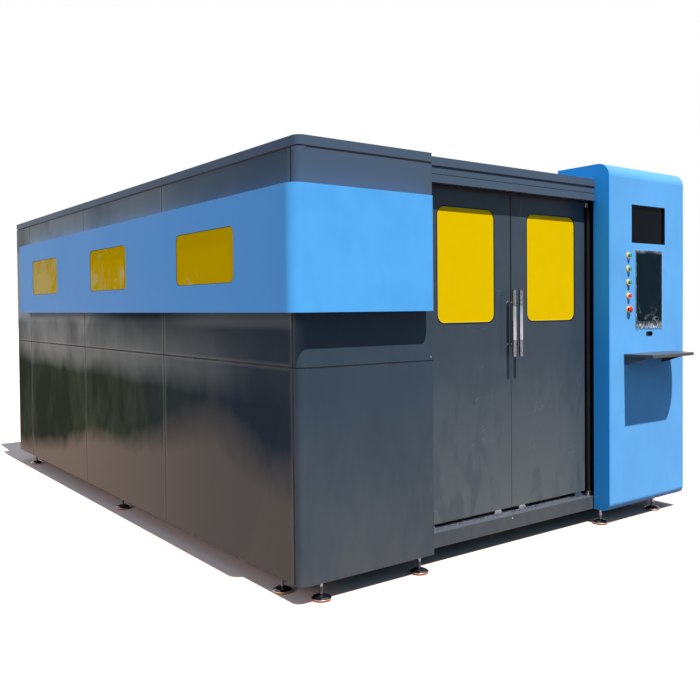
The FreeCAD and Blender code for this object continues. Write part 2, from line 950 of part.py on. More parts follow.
def roller_centres(left, outer_first):
    """Places of a leaf's two rollers along the track."""
    first, last = S.roller_outer_inset, S.roller_inset
    if not outer_first:
        first, last = last, first
    return (left + first, left + S.leaf_width - last)


def make_rollers(name, left, outer_first):
    """The forks under a leaf, each with its axle, and the wheels that run in the track."""
    axle_height = sill_top + S.track_wall + S.roller_play + S.roller_radius
    foot = sill_top + S.track_height + S.fork_play - axle_height
    head = S.leaf_bottom - axle_height
    inner = S.roller_width / 2 + S.fork_play
    forks, wheels = [], []
    for index, x in enumerate(roller_centres(left, outer_first)):
        cheek = [
            (-S.fork_foot / 2, foot), (S.fork_foot / 2, foot),
            (S.fork_head / 2, head), (-S.fork_head / 2, head),
        ]
        cheeks = [
            prism(f"{name}_cheek_{index + 1}", "XZ", cheek, S.fork_plate, (x, track_line + side, axle_height))
            for side in (inner, -inner - S.fork_plate)
        ]
        half = inner + S.fork_plate
        axle = turned(
            f"{name}_axle_{index + 1}",
            [(0, -half), (S.axle_radius, -half), (S.axle_radius, half), (0, half)],
            (x, track_line, axle_height), "y",
        )
        forks.append(fuse(f"{name}_fork_{index + 1}", *cheeks, axle))
        bore = S.axle_radius + S.axle_play
        wide = S.roller_width / 2
        wheels.append(
            turned(
                f"{name}_wheel_{index + 1}",
                [(bore, -wide), (S.roller_radius, -wide), (S.roller_radius, wide), (bore, wide)],
                (x, track_line, axle_height), "y",
            )
        )
    node(f"{name}_roller_forks", *forks)
    return wheels


def make_doors():
    """The two leaves that meet in the middle of the doorway and slide apart on bottom rollers."""
    right_left = middle + S.leaf_meeting_gap / 2
    left_left = middle - S.leaf_meeting_gap / 2 - S.leaf_width
    leaf_piece("left_door", left_left, True)
    leaf_piece("right_door", right_left, False)
    outer_wheel, inner_wheel = make_rollers("left_door", left_left, True)
    node("left_door_outer_roller", outer_wheel)
    node("left_door_inner_roller", inner_wheel)
    inner_wheel, outer_wheel = make_rollers("right_door", right_left, False)
    node("right_door_inner_roller", inner_wheel)
    node("right_door_outer_roller", outer_wheel)


# ---------------------------------------------------------------- control cabinet

def button_height(index):
    """Height of a button's centre, counted down from the top one."""
    return S.button_top - S.button_pitch * index


def cabinet_form(name, inset):
    """The cabinet's outline set in by a wall on every side but its open back."""
    front, back = inset - S.cabinet_proud, S.cabinet_back
    step, top = S.body_height + inset, S.body_height + S.hood_rise - inset
    hood = S.hood_depth - inset
    section = [(front, inset), (back, inset), (back, step), (hood, step), (hood, top), (front, top)]
    form = prism(name, "YZ", section, S.cabinet_width - inset * 2, (cabinet_left + inset, 0, 0))
    fillet(form, S.cabinet_top_radius - inset, y=front, z=top)
    fillet(form, S.cabinet_foot_radius - inset, y=front, z=inset)
    return form


def make_cabinet_shell():
    """The blue housing: a bent front sheet with a hood that reaches back over the roof."""
    outside, inside = cabinet_form("cabinet_outside", length(0)), cabinet_form("cabinet_inside", S.skin)
    housing = cut("cabinet_housing", outside, inside)
    depth = S.through_cut
    front_y = -S.cabinet_proud - depth / 2
    cutters = [
        box("monitor_hole", (S.monitor_width, depth, S.monitor_height),
            (cabinet_left + S.monitor_left, front_y, S.monitor_bottom)),
        box("touch_hole",
            (S.touch_width - S.touch_lap * 2, depth, S.touch_height - S.touch_lap * 2),
            (cabinet_left + S.touch_left + S.touch_lap, front_y, S.touch_bottom + S.touch_lap)),
        rounded_plate("port_hole", "XZ", S.port_width, S.port_height, S.port_radius, depth,
                      (cabinet_left + S.port_left, front_y, S.port_bottom)),
    ]
    for index in range(5):
        cutters.append(
            turned(f"button_hole_{index + 1}",
                   [(0, 0), (S.button_hole_radius, 0), (S.button_hole_radius, depth), (0, depth)],
                   (cabinet_left + S.button_left, front_y, button_height(index)), "y")
        )
    node("cabinet_shell", cut("cabinet_cut", housing, *cutters))


def make_screens():
    """The monitor behind its cut-out, the touch panel in the front sheet and the port below it."""
    inner_face = S.skin - S.cabinet_proud
    lap = S.monitor_flange
    case = box(
        "monitor_case",
        (S.monitor_width + lap * 2, S.monitor_depth, S.monitor_height + lap * 2),
        (cabinet_left + S.monitor_left - lap, inner_face, S.monitor_bottom - lap),
    )
    recess = box(
        "monitor_recess",
        (S.monitor_width, S.screen_recess * 2, S.monitor_height),
        (cabinet_left + S.monitor_left, inner_face - S.screen_recess, S.monitor_bottom),
    )
    node("monitor", cut("monitor_cut", case, recess))

    plate = rounded_plate(
        "touch_plate", "XZ", S.touch_width, S.touch_height, S.touch_lap / 2, S.touch_proud,
        (cabinet_left + S.touch_left, -S.cabinet_proud - S.touch_proud, S.touch_bottom),
    )
    block = box(
        "touch_case",
        (S.touch_width - S.touch_lap * 2, S.touch_depth, S.touch_height - S.touch_lap * 2),
        (cabinet_left + S.touch_left + S.touch_lap, -S.cabinet_proud, S.touch_bottom + S.touch_lap),
    )
    node("touch_panel", fuse("touch_weld", plate, block))

    flange = S.port_flange
    socket = box(
        "port_block",
        (S.port_width + flange * 2, S.port_depth, S.port_height + flange * 2),
        (cabinet_left + S.port_left - flange, inner_face, S.port_bottom - flange),
    )
    well = rounded_plate(
        "port_well", "XZ", S.port_width, S.port_height, S.port_radius, S.port_well * 2,
        (cabinet_left + S.port_left, inner_face - S.port_well, S.port_bottom),
    )
    node("port_socket", cut("port_cut", socket, well))


def make_buttons():
    """Five push buttons in a column: amber collar, bright bezel and cap. The lowest is the stop button."""
    names = ("upper_green_button", "middle_green_button", "lower_green_button", "red_button")
    x, face = cabinet_left + S.button_left, -S.cabinet_proud
    hollow = S.bezel_radius - S.bezel_wall
    wide = hollow - S.button_play
    slim = S.button_hole_radius - S.button_play
    behind, shoulder = -S.plunger_length, S.button_travel
    collar = [(S.bezel_radius, 0), (S.collar_radius, 0), (S.collar_radius - S.collar_slope, S.collar_height),
              (S.bezel_radius, S.collar_height)]
    cap = [
        (0, behind), (slim, behind), (slim, shoulder), (wide, shoulder),
        (wide, S.button_height - S.button_edge), (wide - S.button_edge, S.button_height),
        (0, S.button_height),
    ]
    collars, bezels = [], []
    for index in range(5):
        at = (x, face, button_height(index))
        collars.append(turned(f"collar_{index + 1}", collar, at, "-y"))
        rim = S.bezel_height if index < 4 else S.stop_bezel_height
        bezel = [(hollow, 0), (S.bezel_radius, 0), (S.bezel_radius, rim), (hollow, rim)]
        bezels.append(turned(f"bezel_{index + 1}", bezel, at, "-y"))
        if index < 4:
            node(names[index], turned(f"button_cap_{index + 1}", cap, at, "-y"))
    node("button_collars", *collars)
    node("button_bezels", *bezels)

    at = (x, face, button_height(4))
    crown = S.stop_height - S.stop_cap_height
    core = S.stop_core_radius
    stem_top = S.stop_height - S.stop_slope - S.button_edge
    stem = [(0, behind), (slim, behind), (slim, crown), (core, crown), (core, stem_top), (0, stem_top)]
    node("stop_stem", turned("stop_stem_turned", stem, at, "-y"))
    socket = core + S.core_play
    head = [(socket, crown), (S.stop_radius - S.stop_slope, crown), (S.stop_radius, crown + S.stop_slope),
            (S.stop_radius, S.stop_height - S.stop_slope), (S.stop_radius - S.stop_slope, S.stop_height),
            (0, S.stop_height), (0, S.stop_height - S.stop_slope), (socket, S.stop_height - S.stop_slope)]
    node("stop_head", turned("stop_head_turned", head, at, "-y"))


def make_shelf():
    """The keyboard shelf: a folded tray with a bowed right-hand side, on two gusset brackets."""
    depth = S.shelf_depth
    shelf_at = (cabinet_left + S.shelf_left, -S.cabinet_proud, S.shelf_top - S.shelf_thickness)
    plate = body("shelf_plate", shelf_at)
    sketch = sketch_on(plate, "XY")
    corners = [(0, 0), (0, -depth), (S.shelf_front, -depth), (S.shelf_back, 0)]
    points = [Vector(length(px).number, length(py).number, 0) for px, py in corners]
    bow = Vector(S.shelf_bulge.number, -S.shelf_bulge_reach.number, 0)
    sketch.addGeometry(Part.LineSegment(points[3], points[0]), False)
    sketch.addGeometry(Part.LineSegment(points[0], points[1]), False)
    sketch.addGeometry(Part.LineSegment(points[1], points[2]), False)
    sketch.addGeometry(Part.Arc(points[2], bow, points[3]), False)
    for line, following in ((0, 1), (1, 2)):
        sketch.addConstraint(Sketcher.Constraint("Coincident", line, 2, following, 1))
    sketch.addConstraint(Sketcher.Constraint("Coincident", 2, 2, 3, 1))
    sketch.addConstraint(Sketcher.Constraint("Coincident", 3, 2, 0, 1))
    for line, (px, py) in zip((1, 2), corners[:2]):
        hold(sketch, "DistanceX", line, 1, px)
        hold(sketch, "DistanceY", line, 1, py)
    hold(sketch, "DistanceX", 2, 2, S.shelf_front)
    hold(sketch, "DistanceY", 2, 2, -depth)
    hold(sketch, "DistanceX", 0, 1, S.shelf_back)
    hold(sketch, "DistanceY", 0, 1, 0)
    pad(plate, sketch, S.shelf_thickness, "XY")
    shell(plate, S.skin, ("z", 0))
    node("keyboard_shelf", plate)

    top = S.shelf_top - S.shelf_thickness
    first_gusset = cabinet_left + S.shelf_left + S.gusset_inset
    gusset = [(0, 0), (0, -S.gusset_height), (-S.gusset_foot, -S.gusset_height),
              (-S.gusset_depth, -S.gusset_nose), (-S.gusset_depth, 0)]
    gussets = [
        prism(f"gusset_{index + 1}", "YZ", gusset, S.gusset_plate,
              (first_gusset + S.gusset_spacing * index, -S.cabinet_proud, top))
        for index in range(2)
    ]
    node("shelf_brackets", *gussets)


# ---------------------------------------------------------------- levelling feet

def make_feet():
    """Screw feet under the rails: a threaded stem with its lock nut, a domed disc and a rubber pad."""
    side_x = S.panel_depth + S.tube / 2
    pitch = (S.body_length - S.side_foot_first - S.side_foot_last) / 2
    sides = [(x, S.side_foot_first + pitch * row) for x in (side_x, body_width - side_x) for row in range(3)]
    fronts = [(S.front_foot_left, S.front_foot_setback), (S.front_foot_right, S.front_foot_setback)]
    cabinets = [
        (cabinet_left + S.cabinet_foot_left, S.cabinet_foot_setback),
        (cabinet_left + S.cabinet_foot_right, S.cabinet_foot_setback),
    ]
    places = sides + fronts + cabinets
    floor = -S.foot_height
    disc_floor = S.foot_pad_height
    shoulder = disc_floor + S.disc_rim
    disc_top = shoulder + S.disc_rise
    collar_top = disc_top + S.disc_collar

    half, flat = S.nut_across / 2, S.nut_across / 2 * math.tan(math.radians(30))
    point = S.nut_across / 2 / math.cos(math.radians(30))
    hexagon = [(half, -flat), (half, flat), (0, point), (-half, flat), (-half, -flat), (0, -point)]
    stems = []
    for name, nut_level, stations in (("stem", 0, sides + fronts), ("cabinet_stem", S.nut_drop, cabinets)):
        (x, y), *others = stations
        rod = turned(
            f"{name}_rod", [(0, collar_top), (S.stem_radius, collar_top), (S.stem_radius, S.foot_height),
                            (0, S.foot_height)], (x, y, floor),
        )
        nut = prism(f"{name}_nut", "XY", hexagon, S.nut_height, (x, y, -S.nut_height - nut_level))
        stem = fuse(name, rod, nut)
        stems += [stem] + copies(name, stem, [(px - x, py - y, 0) for px, py in others])
    node("foot_stems", *stems)

    disc_outline = [
        (0, disc_floor), (S.disc_radius, disc_floor), (S.disc_radius, shoulder),
        (S.disc_dome_radius, shoulder + S.disc_dome_rise), (S.disc_shoulder, disc_top),
        (S.disc_neck, collar_top), (0, collar_top),
    ]
    disc = turned("disc", disc_outline, (places[0][0], places[0][1], floor))
    node("foot_discs", disc, *copies("disc", disc, [(x, y, floor) for x, y in places[1:]]))
    pad_outline = [
        (0, 0), (S.foot_pad_radius, 0), (S.foot_pad_radius, S.foot_pad_height), (0, S.foot_pad_height),
    ]
    rubber = turned("foot_pad", pad_outline, (places[0][0], places[0][1], floor))
    node("foot_pads", rubber, *copies("foot_pad", rubber, [(x, y, floor) for x, y in places[1:]]))


# ---------------------------------------------------------------- cutting bed

rail_centres = (bed_left + S.beam_width / 2, bed_left + S.bed_width - S.beam_width / 2)
rail_top = S.bed_height + S.bed_rail_height
table_foot = S.bearer_height + S.bearer_width
slat_tips = table_foot + S.table_bar_height + S.slat_rise


def make_bed():
    """The welded bed: two long box beams joined by cross beams, on steel pads, with rails and racks."""
    bottom = S.bed_foot - S.foot_height
    beam_height = S.bed_height - bottom
    gap = S.bed_width - S.beam_width * 2
    inner = bed_left + S.beam_width
    pieces = [
        tube(f"side_beam_{index + 1}", (S.beam_width, bed_length, beam_height),
             (bed_left + (S.bed_width - S.beam_width) * index, S.bed_setback, bottom), "y", S.beam_wall)
        for index in range(2)
    ]
    last = bed_end - S.beam_width
    over_duct = S.outlet_height + S.outlet_radius + S.duct_clearance
    centre = (S.bed_setback + last) / 2
    for name, y, foot in (
        ("front", S.bed_setback, bottom), ("middle", centre, bottom), ("rear", last, over_duct),
    ):
        size = (gap, S.beam_width, S.cross_beam_top - foot)
        pieces.append(tube(f"{name}_cross_beam", size, (inner, y, foot), "x", S.beam_wall))
    table_end = S.table_setback + S.table_length
    for index, y in enumerate((S.table_setback, table_end - S.bearer_width)):
        size = (gap, S.bearer_width, S.bearer_width)
        pieces.append(tube(f"bearer_{index + 1}", size, (inner, y, S.bearer_height), "x"))
    inset = (S.beam_width - S.bed_foot_size) / 2
    for x in (bed_left + inset, bed_left + S.bed_width - S.beam_width + inset):
        for y in (S.bed_setback, centre, last):
            size = (S.bed_foot_size, S.bed_foot_size, S.bed_foot)
            pieces.append(box("bed_foot_block", size, (x, y + inset, -S.foot_height)))
    node("bed_frame", *pieces)

    rails = []
    for index, centre in enumerate(rail_centres):
        rails.append(
            box(f"bed_rail_{index + 1}", (S.bed_rail_width, bed_length, S.bed_rail_height),
                (centre - S.bed_rail_width / 2, S.bed_setback, S.bed_height))
        )
        outward = -1 if index == 0 else 1
        rack_x = centre + (S.bed_rail_width / 2 + S.rack_gap + S.rack_size / 2) * outward - S.rack_size / 2
        rails.append(
            box(f"rack_{index + 1}", (S.rack_size, bed_length, S.rack_size),
                (rack_x, S.bed_setback, S.bed_height))
        )
    node("bed_rails", *rails)


def slat_outline():
    """A support slat: a flat blade with a saw-toothed top edge between two plain shoulders."""
    blade = S.table_width - S.slat_end_gap * 2
    shoulder = S.slat_shoulder
    tip, root = S.slat_height, S.slat_height - S.tooth_depth
    pitch = (blade - shoulder * 2) / SLAT_TEETH
    points = [(0, 0), (blade, 0), (blade, root), (blade - shoulder, root)]
    for index in range(SLAT_TEETH):
        start = blade - shoulder - pitch * index
        points.append((start - pitch / 2, tip))
        points.append((start - pitch, root))
    points.append((0, root))
    return points


def make_table():
    """The cutting table: a notched frame that carries a row of saw-toothed slats on edge."""
    low = table_foot
    left = body_width / 2 - S.table_width / 2
    right = left + S.table_width - S.table_bar
    slat_base = slat_tips - S.slat_height
    count = int((SIZES["table_length"] - SIZES["table_bar"] * 2) // SIZES["slat_pitch"])
    spread = S.slat_pitch * (count - 1)
    first = S.table_setback + (S.table_length - spread) / 2
    slat_x = left + S.slat_end_gap

    notch = box(
        "notch", (S.table_width, S.slat_thickness + S.slat_play * 2, S.slat_height),
        (left, first - S.slat_thickness / 2 - S.slat_play, slat_base),
    )
    notches = [notch] + copies(
        "notch", notch,
        [(left, first + S.slat_pitch * index - S.slat_thickness / 2 - S.slat_play, slat_base)
         for index in range(1, count)],
    )
    comb = group("notches", notches)
    bars = [
        cut(f"table_bar_{index + 1}",
            box(f"table_bar_{index + 1}_blank", (S.table_bar, S.table_length, S.table_bar_height),
                (x, S.table_setback, low)), comb)
        for index, x in enumerate((left, right))
    ]
    ends = [
        box(f"table_end_{index + 1}", (right - left - S.table_bar, S.table_bar, S.table_bar_height),
            (left + S.table_bar, y, low))
        for index, y in enumerate((S.table_setback, S.table_setback + S.table_length - S.table_bar))
    ]
    node("table_frame", *bars, *ends)

    front_face = first - S.slat_thickness / 2
    slat = prism("slat", "XZ", slat_outline(), S.slat_thickness, (slat_x, front_face, slat_base))
    row = copies(
        "slat", slat,
        [(slat_x, front_face + S.slat_pitch * index, slat_base) for index in range(1, count)],
    )
    node("slats", slat, *row)


# ---------------------------------------------------------------- gantry and head

def make_gantry():
    """The bridge across the bed: a box beam on saddles whose trucks straddle the bed rails."""
    centre = bed_end - S.gantry_from_bed_end
    half = S.gantry_depth / 2
    truck_foot = S.bed_height + S.truck_lift
    truck_top = truck_foot + S.truck_height
    beam_foot = truck_top + S.saddle_plate
    chamfer = S.gantry_chamfer
    top = S.gantry_height
    outline = [(-half, 0), (half, 0), (half, top - chamfer), (half - chamfer, top), (chamfer - half, top),
               (-half, top - chamfer)]
    wall = S.gantry_wall
    skin_corner = wall * math.tan(math.radians(22.5))
    hollow = [
        (wall - half, wall), (half - wall, wall), (half - wall, top - chamfer - skin_corner),
        (half - chamfer - skin_corner, top - wall), (chamfer + skin_corner - half, top - wall),
        (wall - half, top - chamfer - skin_corner),
    ]
    beam = prism("gantry_outside", "YZ", outline, S.bed_width, (bed_left, centre, beam_foot))
    bore = prism("gantry_bore", "YZ", hollow, S.bed_width, (bed_left, centre, beam_foot))
    node("gantry_beam", cut("gantry_hollow", beam, bore))

    trucks = []
    slot = S.bed_rail_width + S.running_gap * 2
    slot_height = rail_top + S.running_gap - truck_foot
    for rail_x in rail_centres:
        for side in (-1, 1):
            y = centre + (S.saddle_length - S.truck_length) / 2 * side - S.truck_length / 2
            block = box("truck_block", (S.truck_width, S.truck_length, S.truck_height),
                        (rail_x - S.truck_width / 2, y, truck_foot))
            trucks.append(
                cut("truck", block, box("truck_slot", (slot, S.truck_length, slot_height),
                                        (rail_x - slot / 2, y, truck_foot)))
            )
    node("gantry_trucks", *trucks)

    drives = []
    for index, rail_x in enumerate(rail_centres):
        outward = -1 if index == 0 else 1
        plate = box(
            f"saddle_{index + 1}", (S.beam_width, S.saddle_length, S.saddle_plate),
            (rail_x - S.beam_width / 2, centre - S.saddle_length / 2, truck_top),
        )
        box_x = rail_x + S.beam_width / 2 * outward
        if outward < 0:
            box_x = box_x - S.drive_box
        gearbox = box(
            f"gearbox_{index + 1}", (S.drive_box, S.drive_box, S.truck_height + S.saddle_plate),
            (box_x, centre - S.drive_box / 2, truck_foot),
        )
        motor_x = box_x + S.drive_box / 2
        motor = turned(
            f"motor_{index + 1}",
            [(0, 0), (S.drive_radius, 0), (S.drive_radius, S.drive_height), (0, S.drive_height)],
            (motor_x, centre, beam_foot),
        )
        drives.append(fuse(f"drive_{index + 1}", plate, gearbox, motor))
    node("gantry_drives", *drives)

    front = centre - half
    side = S.cross_rail
    run = S.bed_width - S.beam_width * 2
    levels = (beam_foot + S.cross_rail_inset, beam_foot + top - chamfer - S.cross_rail_inset - side)
    node(
        "cross_rails",
        *[box(f"cross_rail_{index + 1}", (run, side, side), (bed_left + S.beam_width, front - side, level))
          for index, level in enumerate(levels)],
    )
    return front, beam_foot, levels


def make_carriage(front, beam_foot, levels):
    """The carriage on the cross rails, with its lifting motor, and the cutting head it carries."""
    x = body_width / 2
    gap = S.running_gap
    side = S.cross_rail
    plate_back = front - side - gap
    plate_front = plate_back - S.carriage_plate
    foot = beam_foot - S.carriage_drop
    plate = box("carriage_plate", (S.carriage_width, S.carriage_plate, S.carriage_height),
                (x - S.carriage_width / 2, plate_front, foot))
    jaw = (S.carriage_block_width - side) / 2 - gap
    jaws = []
    for level in levels:
        for x_side in (-1, 1):
            block_middle = x + (S.carriage_width - S.carriage_block_length) / 2 * x_side
            block_x = block_middle - S.carriage_block_length / 2
            for z in (level - gap - jaw, level + side + gap):
                jaws.append(
                    box("carriage_jaw", (S.carriage_block_length, side - gap, jaw), (block_x, plate_back, z))
                )
    motor_foot = foot + S.carriage_height
    motor_y = plate_front + S.carriage_plate / 2
    motor_radius = S.lift_motor_radius
    mount = box("lift_mount", (S.head_slide_width, S.carriage_plate + motor_radius, S.saddle_plate),
                (x - S.head_slide_width / 2, plate_front - motor_radius, motor_foot))
    motor = turned(
        "lift_motor",
        [(0, 0), (motor_radius, 0), (motor_radius, S.lift_motor_height), (0, S.lift_motor_height)],
        (x, motor_y - motor_radius / 2, motor_foot + S.saddle_plate),
    )
    node("carriage", fuse("carriage_weld", plate, mount, motor, *jaws))

    slide_back = plate_front - gap
    slide_front = slide_back - S.head_slide_plate
    tip = slat_tips + S.nozzle_clearance
    r = S.head_radius
    slide = box(
        "head_slide_plate", (S.head_slide_width, S.head_slide_plate, S.head_slide_height),
        (x - S.head_slide_width / 2, slide_front, motor_foot - gap - S.head_slide_height),
    )
    clamp_width = r * 2 + S.head_clamp_wall * 2
    clamp = box(
        "head_clamp", (clamp_width, r * 2 + S.head_clamp_wall, S.head_clamp_height),
        (x - clamp_width / 2, slide_front - r * 2 - S.head_clamp_wall, tip + S.head_clamp_level),
    )
    bore = turned("head_clamp_bore", [(0, 0), (r, 0), (r, S.head_clamp_height), (0, S.head_clamp_height)],
                  (x, slide_front - r, tip + S.head_clamp_level))
    node("head_slide", cut("head_slide_cut", fuse("head_slide_weld", slide, clamp), bore))

    outline = [
        (0, 0), (S.nozzle_radius, 0), (S.nozzle_base, S.nozzle_length), (S.neck_radius, S.nozzle_length),
        (S.neck_radius, S.head_neck_height), (r, S.head_cone_top), (r, S.head_shoulder),
        (S.fibre_boot, S.head_boot_foot), (S.fibre_boot, S.head_length), (0, S.head_length),
    ]
    node("cutting_head", turned("head_turned", outline, (x, slide_front - r, tip)))


# ---------------------------------------------------------------- fume outlet

def make_outlet():
    """The round spigot in the rear wall where the fume duct is pushed on, with its flange."""
    radius, wall = S.outlet_radius, S.outlet_wall
    run = S.bed_rear_gap + S.outlet_length
    wall_at = S.bed_rear_gap
    outline = [
        (radius - wall, 0), (radius, 0), (radius, wall_at), (radius + S.outlet_flange, wall_at),
        (radius + S.outlet_flange, wall_at + S.skin), (radius, wall_at + S.skin), (radius, run),
        (radius - wall, run),
    ]
    node("fume_outlet", turned("outlet_spigot", outline, (body_width / 2, bed_end, S.outlet_height), "y"))


# ---------------------------------------------------------------- build, check and write

make_frame()
make_panels()
make_block()
make_band()
make_doorway()
make_doors()
make_cabinet_shell()
make_screens()
make_buttons()
make_shelf()
make_feet()
make_bed()
make_table()
make_carriage(*make_gantry())
make_outlet()
doc.recompute()

for item in doc.Objects:
    if "Invalid" in item.State or "Error" in item.State:
        raise RuntimeError(f"{item.Name} did not build: {item.State}")
for part in NODES:
    if part.Shape.isNull() or not part.Shape.isValid():
        raise RuntimeError(f"{part.Label} has no valid shape")

os.makedirs("parts", exist_ok=True)
for part in NODES:
    part.Shape.exportStep(f"parts/{part.Label}.step")

overall = Part.makeCompound([part.Shape for part in NODES]).BoundBox
print(f"{len(NODES)} sub-parts, {overall.XLength:.1f} x {overall.YLength:.1f} x {overall.ZLength:.1f} mm")
print(f"from {overall.XMin:.2f}, {overall.YMin:.2f}, {overall.ZMin:.2f}")
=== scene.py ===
# %% [markdown]
# # An enclosed laser cutting machine
# The packed model is the frame of this scene. It gives every solid its place and its body, so a piece that is
# added here only has to say what it stands on. The first cell loads that frame. The looks must not make the
# machine larger than it is.

# %% Load the packed frame
import json
import math

import bmesh
import bpy
from mathutils import Matrix, Vector


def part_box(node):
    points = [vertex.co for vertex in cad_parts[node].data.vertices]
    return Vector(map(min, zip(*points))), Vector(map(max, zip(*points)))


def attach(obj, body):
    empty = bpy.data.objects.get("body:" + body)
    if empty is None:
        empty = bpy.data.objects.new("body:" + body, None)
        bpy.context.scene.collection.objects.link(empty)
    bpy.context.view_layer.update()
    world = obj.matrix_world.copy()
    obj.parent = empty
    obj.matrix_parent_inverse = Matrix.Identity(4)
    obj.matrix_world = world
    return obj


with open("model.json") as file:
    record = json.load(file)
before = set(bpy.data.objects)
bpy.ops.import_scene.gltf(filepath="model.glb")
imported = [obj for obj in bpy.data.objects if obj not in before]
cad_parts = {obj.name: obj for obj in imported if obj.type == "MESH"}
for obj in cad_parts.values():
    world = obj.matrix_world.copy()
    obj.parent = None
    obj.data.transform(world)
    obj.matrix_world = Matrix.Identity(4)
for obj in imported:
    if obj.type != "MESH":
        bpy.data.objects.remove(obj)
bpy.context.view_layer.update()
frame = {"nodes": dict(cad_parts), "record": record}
nodes = frame["nodes"]
record = frame["record"]

# %% [markdown]
# ## Where things are
# A fitter measures from the machine's own corner, in millimetres: right from the left wall, back from the
# front of the left-hand block, and up from the underside of the housing. One helper turns such a place into
# the frame's metres, so that the numbers below can be read like those on a drawing. Many nodes hold several
# equal solids, such as ten feet, so a second helper finds the box of each of them.

# %% Measure from the machine's own corner
MM = 0.001
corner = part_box("corner_lower_shell")[0]


def spot(x, y, z):
    """A place in the frame, from millimetres right, back and up from the housing's front left corner."""
    return corner + Vector((x, y, z)) * MM


def islands(name):
    """The box of each separate solid of a node, from left to right."""
    mesh = nodes[name].data
    places = [tuple(round(value, 5) for value in vertex.co) for vertex in mesh.vertices]
    leader = {place: place for place in places}

    def lead(place):
        while leader[place] != place:
            leader[place] = leader[leader[place]]
            place = leader[place]
        return place

    for edge in mesh.edges:
        first, second = (lead(places[index]) for index in edge.vertices)
        leader[first] = second
    groups = {}
    for place in leader:
        groups.setdefault(lead(place), []).append(place)
    boxes = [(Vector(map(min, zip(*group))), Vector(map(max, zip(*group)))) for group in groups.values()]
    return sorted(boxes, key=lambda pair: tuple(pair[0]))


feet = islands("foot_discs")
print("corner at", [round(value, 4) for value in corner], "feet:", len(feet))

# %% [markdown]
# ## Shader maths that reads like arithmetic
# A finish is a small network of nodes. Wiring Math nodes by hand hides what they work out, so one class wraps
# an output socket and turns +, - and * into Math nodes. `1 - mask` works too, because the reflected forms are
# there. A Math node would turn a colour grey, so colours go through a Mix node instead.

# %% Wrap a socket so that it can be added and multiplied
class Signal:
    """One output of a network's nodes."""

    def __init__(self, network, socket):
        self.network = network
        self.socket = socket

    def work(self, operation, first, second=0.0):
        return self.network.node("ShaderNodeMath", {"operation": operation}, {0: first, 1: second})

    def __add__(self, other):
        return self.work("ADD", self, other)

    def __sub__(self, other):
        return self.work("SUBTRACT", self, other)

    def __rsub__(self, other):
        return self.work("SUBTRACT", other, self)

    def __mul__(self, other):
        return self.work("MULTIPLY", self, other)

    def __abs__(self):
        return self.work("ABSOLUTE", self)

    __radd__ = __add__
    __rmul__ = __mul__


print("operators:", [name for name in vars(Signal) if name.startswith("__r")])

# %% [markdown]
# ## One method that makes nodes
# Materials and the sky both have node trees. `Network.node` is the only way in which a node is made in this
# file: it takes the type, then the settings, and last the sockets, each with a value or with a link.

# %% A network of nodes
class Network:
    """The nodes of a material or of the world."""

    def __init__(self, owner):
        owner.use_nodes = True
        self.tree = owner.node_tree
        self.tree.nodes.clear()

    def node(self, kind, settings=None, sockets=None, output=0):
        """Make one node: first its settings, then the values or links of its sockets."""
        made = self.tree.nodes.new(kind)
        for name, value in (settings or {}).items():
            setattr(made, name, value)
        for name, value in (sockets or {}).items():
            socket = made.inputs[name]
            if isinstance(value, Signal):
                self.tree.links.new(value.socket, socket)
            elif isinstance(value, tuple) and len(value) < len(socket.default_value):
                socket.default_value = (*value, 1.0)
            else:
                socket.default_value = value
        return Signal(self, made.outputs[output]) if made.outputs else made

    def spread(self, signal, low, high, to_low=0.0, to_high=1.0):
        """Stretch a signal's range to another range, and hold it inside."""
        return self.node(
            "ShaderNodeMapRange", {"clamp": True},
            {"Value": signal, "From Min": low, "From Max": high, "To Min": to_low, "To Max": to_high},
        )

    def tint(self, share, first, second):
        """One colour turning into another as share goes from 0 to 1."""
        return self.node("ShaderNodeMix", {"data_type": "RGBA"}, {0: share, 6: first, 7: second}, output=2)

    def seen(self):
        """1 where a ray comes from the camera, a reflection or clear plastic, else 0."""
        rays = [self.node("ShaderNodeLightPath", output=f"Is {kind} Ray")
                for kind in ("Camera", "Glossy", "Transmission")]
        return rays[0].work("MAXIMUM", rays[0].work("MAXIMUM", rays[0], rays[1]), rays[2])


print("a network makes every node through", Network.node.__qualname__)

# %% [markdown]
# ## One class for a finish
# Every finish is a Principled shader with its own plain settings, plus whatever changes over the surface.
# `grain` gives noise in the object's own metres, so a scale of 400 is a fleck of a few millimetres on any
# piece. `height`, `depth` and `width` measure from the machine's corner, for dust that lies near the floor.

